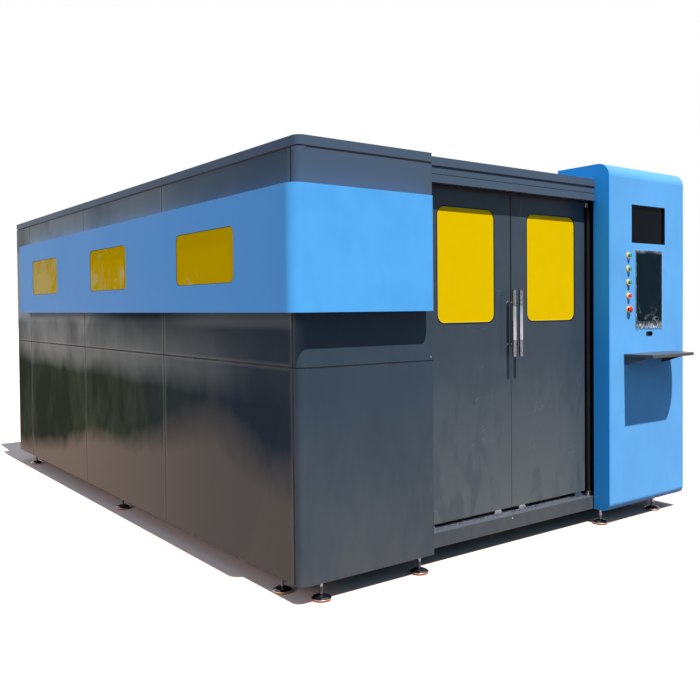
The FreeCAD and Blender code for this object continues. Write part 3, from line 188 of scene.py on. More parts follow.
# %% A finish with its nodes
class Finish(Network):
    """A material: its Principled shader, and the nodes that vary it."""

    def __init__(self, name, **constant):
        self.name = name
        self.material = bpy.data.materials.new(name)
        super().__init__(self.material)
        sockets = {socket.replace("_", " "): value for socket, value in constant.items()}
        surface = self.node("ShaderNodeBsdfPrincipled", {}, sockets)
        self.shader = surface.socket.node
        self.node("ShaderNodeOutputMaterial", {}, {"Surface": surface})
        self.place = self.node("ShaderNodeTexCoord", output="Object")

    def grain(self, scale, detail=2.0, stretch=(1, 1, 1), rough=0.5, warp=0.0):
        """Soft noise from 0 to 1, with its scale per metre and a stretch along each axis."""
        place = self.place
        if stretch != (1, 1, 1):
            place = self.node("ShaderNodeMapping", {}, {"Vector": place, "Scale": stretch})
        return self.node(
            "ShaderNodeTexNoise", {},
            {"Vector": place, "Scale": scale, "Detail": detail, "Roughness": rough, "Distortion": warp},
        )

    def away(self, axis):
        """How far a point is from the machine's corner along one axis, in metres."""
        along = self.node("ShaderNodeSeparateXYZ", {}, {0: self.place}, output=axis)
        return along - corner[axis]

    def width(self):
        return self.away(0)

    def depth(self):
        return self.away(1)

    def height(self):
        return self.away(2)

    def feed(self, **signals):
        """Link signals to the shader's sockets."""
        for socket, signal in signals.items():
            self.tree.links.new(signal.socket, self.shader.inputs[socket.replace("_", " ")])
        return self

    def relief(self, height, strength=1.0):
        """Feed a height in metres to the shader as bumps."""
        bump = self.node("ShaderNodeBump", {}, {"Height": height, "Strength": strength, "Distance": 1.0})
        return self.feed(Normal=bump)


finishes = {}


def keep(*made):
    """Add finishes to the list, each under its own name."""
    finishes.update({finish.name: finish for finish in made})


print("a new finish has", len(Finish("trial").tree.nodes), "nodes")
bpy.data.materials.remove(bpy.data.materials["trial"])

# %% [markdown]
# ## Painted sheet
# The housing is folded sheet with a satin powder coat. Three things show that on the real machine. The sheet
# is never quite flat, so light swims over it. The coat has a fine orange peel. Hands and rain leave dull
# clouds and scratches, and dust settles near the floor. A photograph of paint could be mapped on, but all of
# this is simple noise and height, so it is made from those and fits every panel without seams.

# %% Make a powder coat
PEEL_SCALE, PEEL_DEPTH = 420.0, 0.00001


def powder_coat(name, colour, dust=(0.13, 0.125, 0.12), dull=(0.28, 0.42), wave=0.0016, dust_top=0.9,
                dust_share=0.65, shine=0.1, patchy=0.5, crisp=(0.38, 0.62), scratched=0.0, fields=()):
    """Satin paint on sheet, with orange peel, dull clouds, and dust below.

    wave is how deep the sheet's swell is, in metres. Dust thins out up to dust_top, in patches whose border
    is crisp where its two values are close. Each field is (axis, start, end, tone): from start to end, in
    metres along that axis, the coat turns to another tone.
    """
    finish = Finish(name, Specular_IOR_Level=shine)
    clouds = finish.grain(1.7, detail=4.0, warp=0.6)
    smears = finish.grain(9.0, detail=3.0, stretch=(1, 1, 0.35), warp=1.2)
    mottle = finish.spread(clouds * 0.7 + smears * 0.3, 0.3, 0.7)
    darker = tuple(part * 0.9 for part in colour)
    lighter = tuple(min(part * 1.1 + 0.002, 1.0) for part in colour)
    coat = finish.tint(mottle, darker, lighter)
    for axis, start, end, tone in fields:
        coat = finish.tint(finish.spread(finish.away(axis), start, end), coat, tone)
    patches = finish.spread(clouds * 0.5 + smears * 0.5, *crisp, 1 - patchy, 1.0)
    settled = finish.spread(finish.height(), dust_top, 0.0) * dust_share * patches
    if scratched:
        lines = finish.spread(abs(finish.grain(2.6, detail=2.0, warp=1.4) - 0.5), 0.004, 0.0)
        settled = settled + lines * finish.spread(smears, 0.5, 0.65) * scratched
    finish.feed(
        Base_Color=finish.tint(settled, coat, dust),
        Roughness=finish.spread(smears * 0.5 + clouds * 0.5, 0.3, 0.7, *dull),
    )
    sheet = finish.grain(1.4, detail=1.0) * wave
    peel = finish.grain(PEEL_SCALE, detail=1.0) * PEEL_DEPTH
    return finish.relief(sheet + peel)


print("a powder coat has", len(powder_coat("trial", (0.5, 0.5, 0.5)).tree.nodes), "nodes")
bpy.data.materials.remove(bpy.data.materials["trial"])

# %% [markdown]
# The same coat in five colours. Near its roof the dark housing is paler and bluer with a painted reflection
# of the sky, and the blue band is a little greyer along its side than on its front with a painted sheen. The
# cabinet is deeper in tone at its top edge and over its top, and on the side that faces the doors, as painted
# shade. Such
# a change of tone is a field: one stretch along one axis, so no mask is painted by hand. The door leaves are
# handled and wiped most, so their dust has crisp borders and thin scratches.

# %% Paint the housing
ACROSS, BACKWARD, UPWARD = 0, 1, 2
BLUE_DUST, BLUE_DULL = (0.2, 0.45, 0.8), (0.3, 0.42)
# Painted light as fields: a sky reflection near the roof, a sheen on the band's side, shade on the cabinet.
sky_reflection_near_roof = (UPWARD, 1.78, 1.9, (0.084, 0.116, 0.172))
band_side_sheen = (BACKWARD, -0.05, 0.05, (0.143, 0.43, 0.93))
top_edge_shade = (UPWARD, 2.12, 2.19, (0.11, 0.3, 0.62))
door_side_shade = (ACROSS, 2.285, 2.28, (0.04, 0.38, 1.0))
keep(
    powder_coat("graphite_paint", (0.047, 0.069, 0.099), shine=0.05, fields=(sky_reflection_near_roof,)),
    powder_coat("leaf_paint", (0.049, 0.07, 0.095), dust=(0.16, 0.165, 0.165), dust_top=1.05, dust_share=0.68,
                patchy=0.42, crisp=(0.455, 0.525), scratched=0.7),
    powder_coat("blue_paint", (0.105, 0.44, 0.97), dust=BLUE_DUST, dull=BLUE_DULL, wave=0.0009,
                dust_share=0.1, shine=0.05, fields=(band_side_sheen,)),
    powder_coat("cabinet_paint", (0.15, 0.455, 0.92), dust=BLUE_DUST, dull=BLUE_DULL, wave=0.0007,
                dust_share=0.1, shine=0.03, fields=(top_edge_shade, door_side_shade)),
    powder_coat("shelf_paint", (0.075, 0.085, 0.1), wave=0.0003, dust_share=0.0),
)
print("coats:", ", ".join(finishes))

# %% [markdown]
# ## The long wall
# The long left wall stands in shade, and its coat is a shaded copy of the housing's: its clean paint is
# greyer than on the front, as painted shade. Nobody wipes it. From the floor up to a wandering line it is
# dull and warm with dust and a painted reflection of the ground, clean and dark over it, and paler again
# under the band with a painted sheen, more so towards the rear. Over the band it takes a painted reflection
# of the sky. Plants stand beside it, and a painted reflection of their green lies in the dark part, because
# the scene has no plants. A painted highlight runs along the sheet's folds beside each seam, and a painted
# sheen along the band's foot. The painted sheen and the dust also set the weight of a thin clear coat, so the
# clean paint stays dark from the side, and the dull paint brightens.

# %% Make the coat of the long wall
SEAM_LEVEL = 1022
WALL_SEAMS = sorted({round((low.y - corner.y) / MM - 2, 1) for low, high in islands("left_panels")})


def wall_coat(name, clean, green, leafy, upper, near_dust_and_reflection, far_dust_and_reflection, sheen_tone):
    """The housing's paint on the long wall: dust and painted reflection below, painted sheen under the band.
    """
    finish = Finish(name, Specular_IOR_Level=0.0, Coat_Roughness=0.24)
    clouds = finish.grain(1.25, detail=3.0, warp=0.8)
    smears = finish.grain(5.0, detail=4.0, stretch=(1, 1, 0.45), warp=1.0)
    height, depth = finish.height(), finish.depth()

    # Dust and a painted ground reflection lie under a line that falls to the rear and at the front corner,
    # and wanders.
    wander = (clouds - 0.5) * 0.28 + (smears - 0.5) * 0.05
    line = 0.81 - depth * 0.155 - finish.spread(depth, 0.85, 0.0, 0.0, 0.34) + wander
    line = line - finish.spread(abs(depth - 2.15), 1.0, 0.0, 0.0, 0.08)
    below = finish.spread((height - line) * finish.spread(depth, 1.4, 2.2, 1.0, 2.0), 0.13, -0.16)

    # Painted sheen: under the band, over the band, at the band's foot, and a painted highlight along each
    # seam's folds.
    patches = finish.spread(smears * 0.2 + clouds * 0.8, 0.34, 0.62, 0.4, 1.0)
    under_band = finish.spread(height + wander * 0.4, 0.82, 0.97)
    fading = 1 - finish.spread(height, 1.04, 1.26, 0.0, 0.65) * finish.spread(depth, 3.1, 2.2)
    over_band = finish.spread(height, 1.8, 1.86)
    rearward = finish.spread(depth, 0.3, 3.3, 0.1, 1.0)
    band_foot = finish.spread(height, 1.19, 1.27) * (1 - over_band)
    band_foot = band_foot * finish.spread(abs(depth - 1.95), 0.3, 1.1)
    folds = finish.spread(abs(height - SEAM_LEVEL * MM), 0.024, 0.008)
    for start in WALL_SEAMS:
        folds = folds.work("MAXIMUM", folds, finish.spread(abs(depth - start * MM), 0.032, 0.012))
    painted_sheen = (under_band * fading * (1 - over_band) + over_band * 0.7) * rearward * patches
    painted_sheen = painted_sheen + band_foot * 0.6 + folds * 0.16

    # Paint: a painted reflection of plants in green towards the rear, a painted sky reflection over the band,
    # and the dust and painted ground reflection warmer at the far end.
    green = finish.tint(finish.spread(smears * 0.5 + clouds * 0.5, 0.44, 0.62), green, leafy)
    coat = finish.tint(finish.spread(depth, 0.6, 2.6) * finish.spread(height, 1.3, 1.0), clean, green)
    coat = finish.tint(over_band, coat, upper)
    dust_and_reflection = finish.tint(finish.spread(depth, 0.9, 3.2), near_dust_and_reflection, far_dust_and_reflection)
    finish.feed(
        Base_Color=finish.tint(painted_sheen, finish.tint(below, coat, dust_and_reflection), sheen_tone),
        Roughness=finish.spread(smears, 0.3, 0.7, 0.34, 0.5),
        Coat_Weight=finish.spread(painted_sheen + below, 0.0, 1.0, 0.0, 0.2),
    )
    return finish.relief(finish.grain(1.6, detail=1.5, stretch=(1, 1, 0.6)) * 0.003)


# The green tones are a painted reflection of plants, the upper tone a painted reflection of the sky, the dust
# tones also a painted reflection of the ground, and the last, pale tone a painted sheen.
keep(wall_coat("wall_paint", clean=(0.047, 0.054, 0.072), green=(0.074, 0.07, 0.047),
               leafy=(0.13, 0.125, 0.075), upper=(0.09, 0.108, 0.14), near_dust_and_reflection=(0.14, 0.115, 0.1),
               far_dust_and_reflection=(0.29, 0.195, 0.14), sheen_tone=(0.44, 0.4, 0.37)))
print("wall:", len(finishes["wall_paint"].tree.nodes), "nodes, upright seams at", WALL_SEAMS)

# %% [markdown]
# ## Welded frame and bed
# The frame and the bed are out of sight on a closed machine, but they show at the doors and between the feet.
# They are painted by brush and gun without filler, so their coat is rougher than the housing's, with an
# uneven gloss and pale scuffs where things rub.

# %% Make a rough enamel
def rough_enamel(name, colour, scuff):
    """Brushed and sprayed enamel over bare welds, with pale scuffs."""
    finish = Finish(name, Specular_IOR_Level=0.4)
    patches = finish.grain(14.0, detail=6.0, rough=0.65)
    scuffs = finish.spread(finish.grain(60.0, detail=5.0, rough=0.7), 0.62, 0.72)
    shaded = finish.tint(patches, tuple(part * 0.7 for part in colour), colour)
    finish.feed(
        Base_Color=finish.tint(scuffs * 0.5, shaded, scuff),
        Roughness=finish.spread(patches, 0.3, 0.7, 0.45, 0.7),
    )
    return finish.relief(finish.grain(220.0, detail=3.0) * 0.00006)


keep(
    rough_enamel("frame_paint", (0.03, 0.036, 0.045), (0.12, 0.12, 0.12)),
    rough_enamel("bed_paint", (0.07, 0.085, 0.105), (0.22, 0.22, 0.21)),
)
print("finishes so far:", len(finishes))

# %% [markdown]
# ## Metals
# Bare metals differ by how they were worked. A zinc coat freezes into spangles, which is a Voronoi pattern.
# A turned or drawn part has fine lines along or round it, which is noise stretched far along one axis. A
# ground face has a finer, straighter grain. All are full metal, so the colour tints what they reflect.

# %% Make the metals
def drawn_metal(name, colour, dull, lines=(1, 1, 0.02), line_scale=900.0, depth=0.000004, stain=0.15,
                stain_scale=22.0):
    """Metal with fine lines, and a stain that dulls it in places."""
    finish = Finish(name, Metallic=1.0)
    strokes = finish.grain(line_scale, detail=2.0, stretch=lines)
    stains = finish.grain(stain_scale, detail=5.0, rough=0.6)
    darker = tuple(part * (1 - stain) for part in colour)
    finish.feed(
        Base_Color=finish.tint(finish.spread(stains, 0.35, 0.65), darker, colour),
        Roughness=finish.spread(strokes * 0.6 + stains * 0.4, 0.3, 0.7, *dull),
    )
    return finish.relief(strokes * depth)


def spangled_zinc(name):
    """Hot-dip zinc: flat crystals of slightly different grey."""
    finish = Finish(name, Metallic=1.0)
    crystals = finish.node(
        "ShaderNodeTexVoronoi", {}, {"Vector": finish.place, "Scale": 90.0}, output="Color",
    )
    shade = finish.node("ShaderNodeSeparateColor", {}, {0: crystals})
    finish.feed(
        Base_Color=finish.tint(shade, (0.21, 0.27, 0.34), (0.35, 0.43, 0.53)),
        Roughness=finish.spread(shade, 0.0, 1.0, 0.28, 0.48),
    )
    return finish.relief(finish.grain(120.0) * 0.00003)


keep(spangled_zinc("galvanised_steel"))
print("zinc:", len(finishes["galvanised_steel"].tree.nodes), "nodes")

# %% [markdown]
# One helper makes all the other metals, and only the numbers differ: the colour that they reflect, how dull
# they are, which way their lines run, and how stained they are. The pull's middle is polished by hands and
# mirrors the sky, while its ends are stained and dull. The slats are scorched by the beam.

# %% Mix the metals
keep(
    drawn_metal("pull_steel", (0.25, 0.29, 0.34), (0.15, 0.35), lines=(1, 1, 6), line_scale=90.0, stain=0.6,
                stain_scale=90.0),
    drawn_metal("polished_steel", (0.38, 0.46, 0.52), (0.06, 0.14), stain=0.15),
    drawn_metal("roller_steel", (0.5, 0.5, 0.51), (0.2, 0.4)),
    drawn_metal("bezel_metal", (0.85, 0.93, 1.0), (0.1, 0.25), line_scale=1600.0, stain=0.05),
    drawn_metal("stem_steel", (0.3, 0.34, 0.38), (0.25, 0.45), lines=(1, 1, 10), line_scale=200.0, stain=0.4,
                stain_scale=120.0),
    drawn_metal("ground_steel", (0.6, 0.6, 0.6), (0.12, 0.3), lines=(1, 0.02, 1), stain=0.08),
    drawn_metal("slat_steel", (0.36, 0.34, 0.33), (0.35, 0.6), lines=(0.05, 1, 1), stain=0.5),
    drawn_metal("beam_aluminium", (0.66, 0.67, 0.68), (0.3, 0.45), lines=(0.02, 1, 1)),
    drawn_metal("head_metal", (0.6, 0.6, 0.62), (0.12, 0.28), lines=(1, 1, 14), line_scale=160.0),
    drawn_metal("duct_steel", (0.55, 0.57, 0.58), (0.3, 0.5), lines=(1, 0.03, 1), stain=0.2),
    drawn_metal("bolt_steel", (0.5, 0.51, 0.53), (0.25, 0.4), stain=0.25, stain_scale=300.0),
)
print("metals:", [name for name in finishes if "steel" in name or "metal" in name])

# %% [markdown]
# ## Plastics and rubber
# The button caps, the collars and the feet's pads are moulded: an even colour with a soft unevenness, fine
# flecks, and a gloss that changes a little. One helper makes them all, and only the numbers differ.

# %% Make the plastics and rubber
def moulded(name, colour, dull, fleck=0.00002, shine=0.3, mottle=0.12, **constant):
    """A moulded or cast surface: even colour, soft unevenness, fine flecks."""
    finish = Finish(name, Specular_IOR_Level=shine, **constant)
    blotch = finish.grain(12.0, detail=3.0)
    finish.feed(
        Base_Color=finish.tint(blotch, tuple(part * (1 - mottle) for part in colour), colour),
        Roughness=finish.spread(blotch, 0.3, 0.7, *dull),
    )
    return finish.relief(finish.grain(700.0, detail=2.0) * fleck)


keep(
    moulded("black_rubber", (0.012, 0.012, 0.014), (0.55, 0.75), fleck=0.00006, shine=0.15),
    moulded("seal_rubber", (0.05, 0.055, 0.07), (0.4, 0.6), fleck=0.00006, shine=0.2),
    moulded("navy_rubber", (0.012, 0.016, 0.06), (0.5, 0.7), fleck=0.00004, shine=0.1),
    moulded("black_plastic", (0.006, 0.006, 0.008), (0.35, 0.5), fleck=0.00003, shine=0.12),
    moulded("amber_plastic", (1.0, 0.5, 0.0), (0.25, 0.4)),
    moulded("green_plastic", (0.0, 0.3, 0.19), (0.18, 0.3), Coat_Weight=0.3),
    moulded("red_plastic", (0.9, 0.02, 0.015), (0.2, 0.32), Coat_Weight=0.15),
    moulded("orange_rubber", (1.0, 0.2, 0.02), (0.5, 0.7), fleck=0.00005, shine=0.1),
    moulded("disc_steel", (0.008, 0.009, 0.014), (0.1, 0.22), fleck=0.00001, shine=0.6, Coat_Weight=0.7,
            Coat_Roughness=0.12),
    moulded("motor_black", (0.02, 0.021, 0.024), (0.3, 0.5), fleck=0.00005),
)
print("finishes:", len(finishes))

# %% [markdown]
# ## Panes and screens
# The panes are cast acrylic of the yellow that stops laser light. From outside they look flat and strong in
# colour, because little light comes back from the dark room behind, so they are an opaque plastic. They give
# off a faint even light of their own, a painted glow that keeps them warm in the shade. Those of the long
# wall are a copy with painted shade, a little more orange, and with painted pale reflections in blurred
# patches. The screens are black glass that keeps its depth because its own colour is almost nothing.

# %% Make the panes and screens
# A painted glow: the panes give off a faint even light of their own, which keeps them warm in the shade.
PAINTED_GLOW, PAINTED_GLOW_STRENGTH = (1.0, 0.15, 0.0), 0.055


def pane(name, colour, pale, share, shine):
    """Yellow acrylic with a painted glow, and painted pale reflections in patches that grow towards the rear.
    """
    finish = Finish(name, Specular_IOR_Level=shine, Emission_Color=PAINTED_GLOW, Emission_Strength=PAINTED_GLOW_STRENGTH)
    soft = finish.grain(4.5, detail=2.0, warp=1.6)
    specks = finish.grain(42.0, detail=5.0, rough=0.7, warp=0.8)
    rearward = finish.spread(finish.depth(), 0.6, 3.9, -0.17, 0.15)
    lower = finish.spread(finish.height(), 1.72, 1.43, -0.05, 0.06)
    mask = finish.spread(soft * 0.75 + specks * 0.25 + rearward + lower, 0.52, 0.62) * share
    finish.feed(
        Base_Color=finish.tint(mask, finish.tint(soft, tuple(part * 0.94 for part in colour), colour), pale),
        Roughness=finish.spread(soft, 0.3, 0.7, 0.08, 0.16),
    )
    return finish.relief(soft * 0.0004)


# The fourth value of each pane is the tone of its painted reflections, and the fifth how much of them shows.
keep(
    pane("yellow_acrylic", (0.88, 0.58, 0.0), (0.9, 0.7, 0.05), 0.0, 0.01),
    pane("wall_acrylic", (0.88, 0.53, 0.0), (0.86, 0.68, 0.3), 0.6, 0.0),
    moulded("pane_edge", (1.0, 0.72, 0.0), (0.2, 0.3), shine=0.1, mottle=0.05),
    moulded("screen_glass", (0.005, 0.006, 0.011), (0.05, 0.12), fleck=0.0, mottle=0.3, shine=0.03),
    moulded("touch_glass", (0.0, 0.016, 0.03), (0.05, 0.12), fleck=0.0, mottle=0.6, shine=0.02),
)
print("glass and panes done, finishes:", len(finishes))

# %% [markdown]
# ## Give each solid its finish
# The record says which finish each solid takes. Going through it, rather than naming solids one by one, means
# that none is left out. A few solids then get their own version of it: the left wall, the cabinet, the door
# leaves, the panes of the wall and the doorway's seals.

# %% Assign the finishes
special = {
    "left_panels": "wall_paint", "cabinet_shell": "cabinet_paint",
    "left_door_leaf": "leaf_paint", "right_door_leaf": "leaf_paint", "side_windows": "wall_acrylic",
    "door_seals": "seal_rubber",
}
for part in record["subparts"]:
    solid = nodes[part["node"]]
    solid.data.materials.clear()
    solid.data.materials.append(finishes[special.get(part["node"], part["material_slot"])].material)
print("solids with a finish:", sum(1 for solid in nodes.values() if solid.data.materials))

# %% [markdown]
# ## Tools for the small parts
# Every small part below is worked out as rings of points that are joined by faces. One helper that joins
# rings serves for all of them, and one piece may hold several such forms. A new piece says which body it
# rides on and which finish it takes.


def join_rings(bm, rings, closed, loop):
    """Join each ring of points to the next with faces, and close the ends of a form that isn't a loop."""
    rows = [[bm.verts.new(point) for point in ring] for ring in rings]
    pairs = list(zip(rows, rows[1:])) + ([(rows[-1], rows[0])] if loop else [])
    for first, second in pairs:
        count = len(first)
        for index in range(count if closed else count - 1):
            following = (index + 1) % count
            bm.faces.new((first[index], first[following], second[following], second[index]))
    if closed and not loop:
        bm.faces.new(rows[0][::-1])
        bm.faces.new(rows[-1])


def add_piece(name, forms, finish, body, closed=True, loop=False, sharp=35):
    """One object made of one or more forms, each a list of rings, that rides on a body.

    closed joins each ring's end to its start, and loop joins the last ring to the first.
    """
    bm = bmesh.new()
    for rings in forms:
        join_rings(bm, rings, closed, loop)
    bmesh.ops.recalc_face_normals(bm, faces=bm.faces)
    mesh = bpy.data.meshes.new(name)
    bm.to_mesh(mesh)
    bm.free()
    for face in mesh.polygons:
        face.use_smooth = True
    mesh.set_sharp_from_angle(angle=math.radians(sharp))
    mesh.materials.append(finishes[finish].material)
    made = bpy.data.objects.new(name, mesh)
    bpy.context.scene.collection.objects.link(made)
    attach(made, body)
    return made


# %% [markdown]
# Round parts are turned, as on a lathe: an outline of radius and height is spun round an axis. Frames and
# gaskets are a section carried round a rectangle with round corners. A screw is a turned part too, and its
# outline dips at the middle for the socket. Strips and fittings are blocks whose ends are chamfered, because
# no real edge is perfectly sharp.

# %% Turn outlines, frame rectangles and soften blocks
UP, BACK, FRONT, LEFT = (0, 0, 1), (0, 1, 0), (0, -1, 0), (-1, 0, 0)


def turned(outline, at, axis=FRONT, count=32):
    """Rings of points for an outline of (radius, height) in millimetres, spun round an axis."""
    axis = Vector(axis).normalized()
    side = axis.orthogonal().normalized()
    other = axis.cross(side)
    angles = [2 * math.pi * index / count for index in range(count)]
    return [
        [at + (axis * height + (side * math.cos(angle) + other * math.sin(angle)) * radius) * MM
         for angle in angles]
        for radius, height in outline
    ]


def rounded_rectangle(width, height, radius, arc=6):
    """Points round a rectangle with round corners, from its middle, in millimetres."""
    points = []
    for turn, (x, y) in enumerate(((1, 1), (-1, 1), (-1, -1), (1, -1))):
        cx, cy = x * (width / 2 - radius), y * (height / 2 - radius)
        for step in range(arc + 1):
            angle = math.pi / 2 * (turn + step / arc)
            points.append((cx + radius * math.cos(angle), cy + radius * math.sin(angle)))
    return points


def framed(centre, size, radius, section, out=FRONT):
    """Rings of a section of (inward, forward) carried round a rounded rectangle that faces out."""
    out, up = Vector(out), Vector(UP)
    right = up.cross(out)
    rings = []
    for inward, forward in section:
        width, height = (length - 2 * inward for length in size)
        outline = rounded_rectangle(width, height, max(radius - inward, 0.4))
        rings.append([centre + (right * x + up * y + out * forward) * MM for x, y in outline])
    return rings


def screw_head(at, axis, radius):
    """A button-headed screw with its socket, as rings."""
    profile = ((1, 0), (1, 0.2), (0.85, 0.42), (0.5, 0.55), (0.42, 0.55), (0.4, 0.15), (0.05, 0.12))
    return turned([(part * radius, rise * radius) for part, rise in profile], at, axis, count=16)


def block(low, high, soften):
    """A block from two corners in millimetres, with its front and rear edges softened, as rings."""
    (x0, y0, z0), (x1, y1, z1) = low, high
    rings = []
    for y, inset in ((y0, soften), (y0 + soften, 0), (y1 - soften, 0), (y1, soften)):
        rings.append([spot(x, y, z) for x, z in ((x0 + inset, z0 + inset), (x1 - inset, z0 + inset),
                                                 (x1 - inset, z1 - inset), (x0 + inset, z1 - inset))])
    return rings


print("a rounded rectangle has", len(rounded_rectangle(10, 10, 2)), "points")

# %% [markdown]
# ## Screens
# The monitor lies behind a hole in the sheet, and a thin dark frame holds it there. The touch panel is
# mounted from the front. Its glass has a narrow black border that the picture never reaches. The small port
# below has a rim of the same black plastic.

# %% Frame the screens and the port
CABINET_FRONT, MONITOR_SUNK, GLASS_PROUD = -44, 12, 2
TOUCH_SIZE = (293, 506)
monitor_middle = spot(2700.5, CABINET_FRONT + MONITOR_SUNK, 1823)
touch = spot(2702.5, CABINET_FRONT - GLASS_PROUD, 1402)
port = spot(2706.5, CABINET_FRONT, 1112)
MONITOR_SECTION = [(0.2, 0), (0.2, 2), (1, 2.6), (3.5, 2), (4, 0.6), (4, 0)]
TOUCH_SECTION = [(0, -1), (0, 0.2), (0.6, 0.8), (9, 0.8), (9.6, 0.1), (9.6, -1)]
PORT_SECTION = [(-1.2, 0.05), (-0.9, 0.7), (-0.2, 0.9), (0.4, 0.6), (0.4, -4), (0.05, -4)]
screen_frames = (
    ("monitor_bezel", monitor_middle, (375, 246), 2, MONITOR_SECTION),
    ("touch_border", touch, TOUCH_SIZE, 5, TOUCH_SECTION),
    ("port_rim", port, (71, 28), 13, PORT_SECTION),
)
for name, middle, size, radius, section in screen_frames:
    add_piece(name, [framed(middle, size, radius, section)], "black_plastic", "machine", loop=True)
print("screens framed at", [round(value, 3) for value in touch])

# %% [markdown]
# ## The film on the touch panel
# The maker's clear film is still on the panel, lifted and wrinkled at its edges. It is a fine grid of points
# that lies flat in the middle and is pushed out in folds near the rim. Thin film is seen by its creases
# alone, so its finish is almost wholly transparent in the middle, and milky where it is folded.

# %% Make the film's finish
film = Finish("clear_film", Roughness=0.2, Specular_IOR_Level=0.15)
creases = film.grain(34.0, detail=6.0, stretch=(1, 1, 0.6), rough=0.62, warp=1.8)
streaks = film.spread(abs(film.grain(7.0, detail=1.0, warp=1.2) - 0.5), 0.008, 0.0)
aside = abs(film.width() - (touch.x - corner.x))
rise = film.height() - (touch.z - corner.z)
rim = film.spread(aside, 0.14, 0.147) * 0.8
top = film.spread(rise, 0.23, 0.25) * film.spread(aside, 0.03, 0.1, 0.25, 1.0)
bottom = film.spread(rise, -0.205, -0.24)
border = rim.work("MAXIMUM", rim, top.work("MAXIMUM", top, bottom))
folds = film.spread(creases, 0.42, 0.6, 0.1, 1.0)
low_streaks = streaks * film.spread(rise, -0.09, -0.17) * 0.5
film.feed(
    Base_Color=film.tint(creases, (0.4, 0.48, 0.58), (0.8, 0.9, 1.0)),
    Alpha=film.spread(border * folds * 0.75 + low_streaks, 0.0, 0.9, 0.003, 0.9),
)
keep(film)
print("film finish:", len(film.tree.nodes), "nodes")

# %% [markdown]
# The folds of the film are sums of sine waves whose phase is bent by another wave, so that no two are alike.
# They are strongest in a narrow rim, and the corners curl up a little more. Cloth simulation could wrinkle
# it too, but film this stiff, held flat by its own cling, only moves at its edges.

# %% Wrinkle a clear film
FILM_GAP, CREASED_RIM, CURLED_CORNER = 1.2, 26, 70
OVERHANG_ACROSS, OVERHANG_UP = 6, 5


def film_height(u, v):
    """How far the film stands off its panel, in millimetres, for u across and v up, both 0 to 1."""
    edge = min(u, 1 - u) * TOUCH_SIZE[0], min(v, 1 - v) * TOUCH_SIZE[1]
    near = max(0.0, 1 - min(edge) / CREASED_RIM)
    corner_lift = max(0.0, 1 - math.hypot(*edge) / CURLED_CORNER)
    waves = (math.sin(v * 71 + 3 * math.sin(u * 23)) + math.sin(u * 57 + 2.4 * math.sin(v * 31))
             + math.sin((u + v) * 93))
    return FILM_GAP + near * (1.6 + 0.9 * waves) + corner_lift * (1.5 + math.sin(u * 131 + v * 67))


def film_rows(across=60, up=104):
    """The film's points, row by row from its lower edge, with a cut that wanders a little."""
    rows = []
    for j in range(up + 1):
        v = j / up
        row = []
        for i in range(across + 1):
            u = i / across
            wobble = 1.6 * math.sin(v * 37 + 1.3) + 1.1 * math.sin(v * 83)
            side = (u - 0.5) * (TOUCH_SIZE[0] + OVERHANG_ACROSS + (wobble if u in (0, 1) else 0))
            cut = 1.8 * math.sin(u * 41) if v in (0, 1) else 0
            lift = (v - 0.5) * (TOUCH_SIZE[1] + OVERHANG_UP + cut)
            row.append(touch + Vector((side, -film_height(u, v), lift)) * MM)
        rows.append(row)
    return rows


add_piece("touch_film", [film_rows()], "clear_film", "machine", closed=False, sharp=180)

# %% [markdown]
# ## Buttons
# The caps are moulded with a low dome, and a ring is cut into it near the edge. The stop button has a broad
# mushroom top with a dark pressed-in middle. Each dome rides on its own button, so that it goes in with it.

# %% Dome the button caps
BUTTON_X, CAP_FACE, STOP_FACE, STOP_LEVEL = 2477, -63, -68, 1273
DOME = [(12.4, -0.3), (12, 0.5), (10.6, 0.9), (10.3, 0.5), (9.9, 0.5), (9.6, 1.1), (6, 1.7), (2.6, 1.9),
        (0.05, 2)]
STOP_DOME = [(14.6, -0.1), (14, 0.6), (11, 1.8), (7, 2.5), (5.2, 2.6), (4.8, 1.6), (0.05, 1.6)]
STOP_SPOT = [(4.6, 1.5), (4.6, 2.3), (3.8, 2.8), (0.05, 3)]
caps = (("upper_green_button", 1617, "green_plastic"), ("middle_green_button", 1531, "green_plastic"),
        ("lower_green_button", 1445, "green_plastic"), ("red_button", 1359, "red_plastic"))
for button, level, finish in caps:
    add_piece(f"{button}_dome", [turned(DOME, spot(BUTTON_X, CAP_FACE, level))], finish, button)
stop_face = spot(BUTTON_X, STOP_FACE, STOP_LEVEL)
add_piece("stop_head_dome", [turned(STOP_DOME, stop_face, count=48)], "red_plastic", "stop_head")
add_piece("stop_head_spot", [turned(STOP_SPOT, stop_face)], "black_plastic", "stop_head")
print("domed buttons:", len(caps) + 1)

# %% [markdown]
# ## Windows
# Each door window is let into the sheet with a thin navy gasket, and the sawn edge of the acrylic glows
# brighter just inside it. A gasket could be a dark line in the material, but real thickness gives it the
# highlight and the shadow. In the blue band the panes lie deeper, and the gasket sits inside the hole.

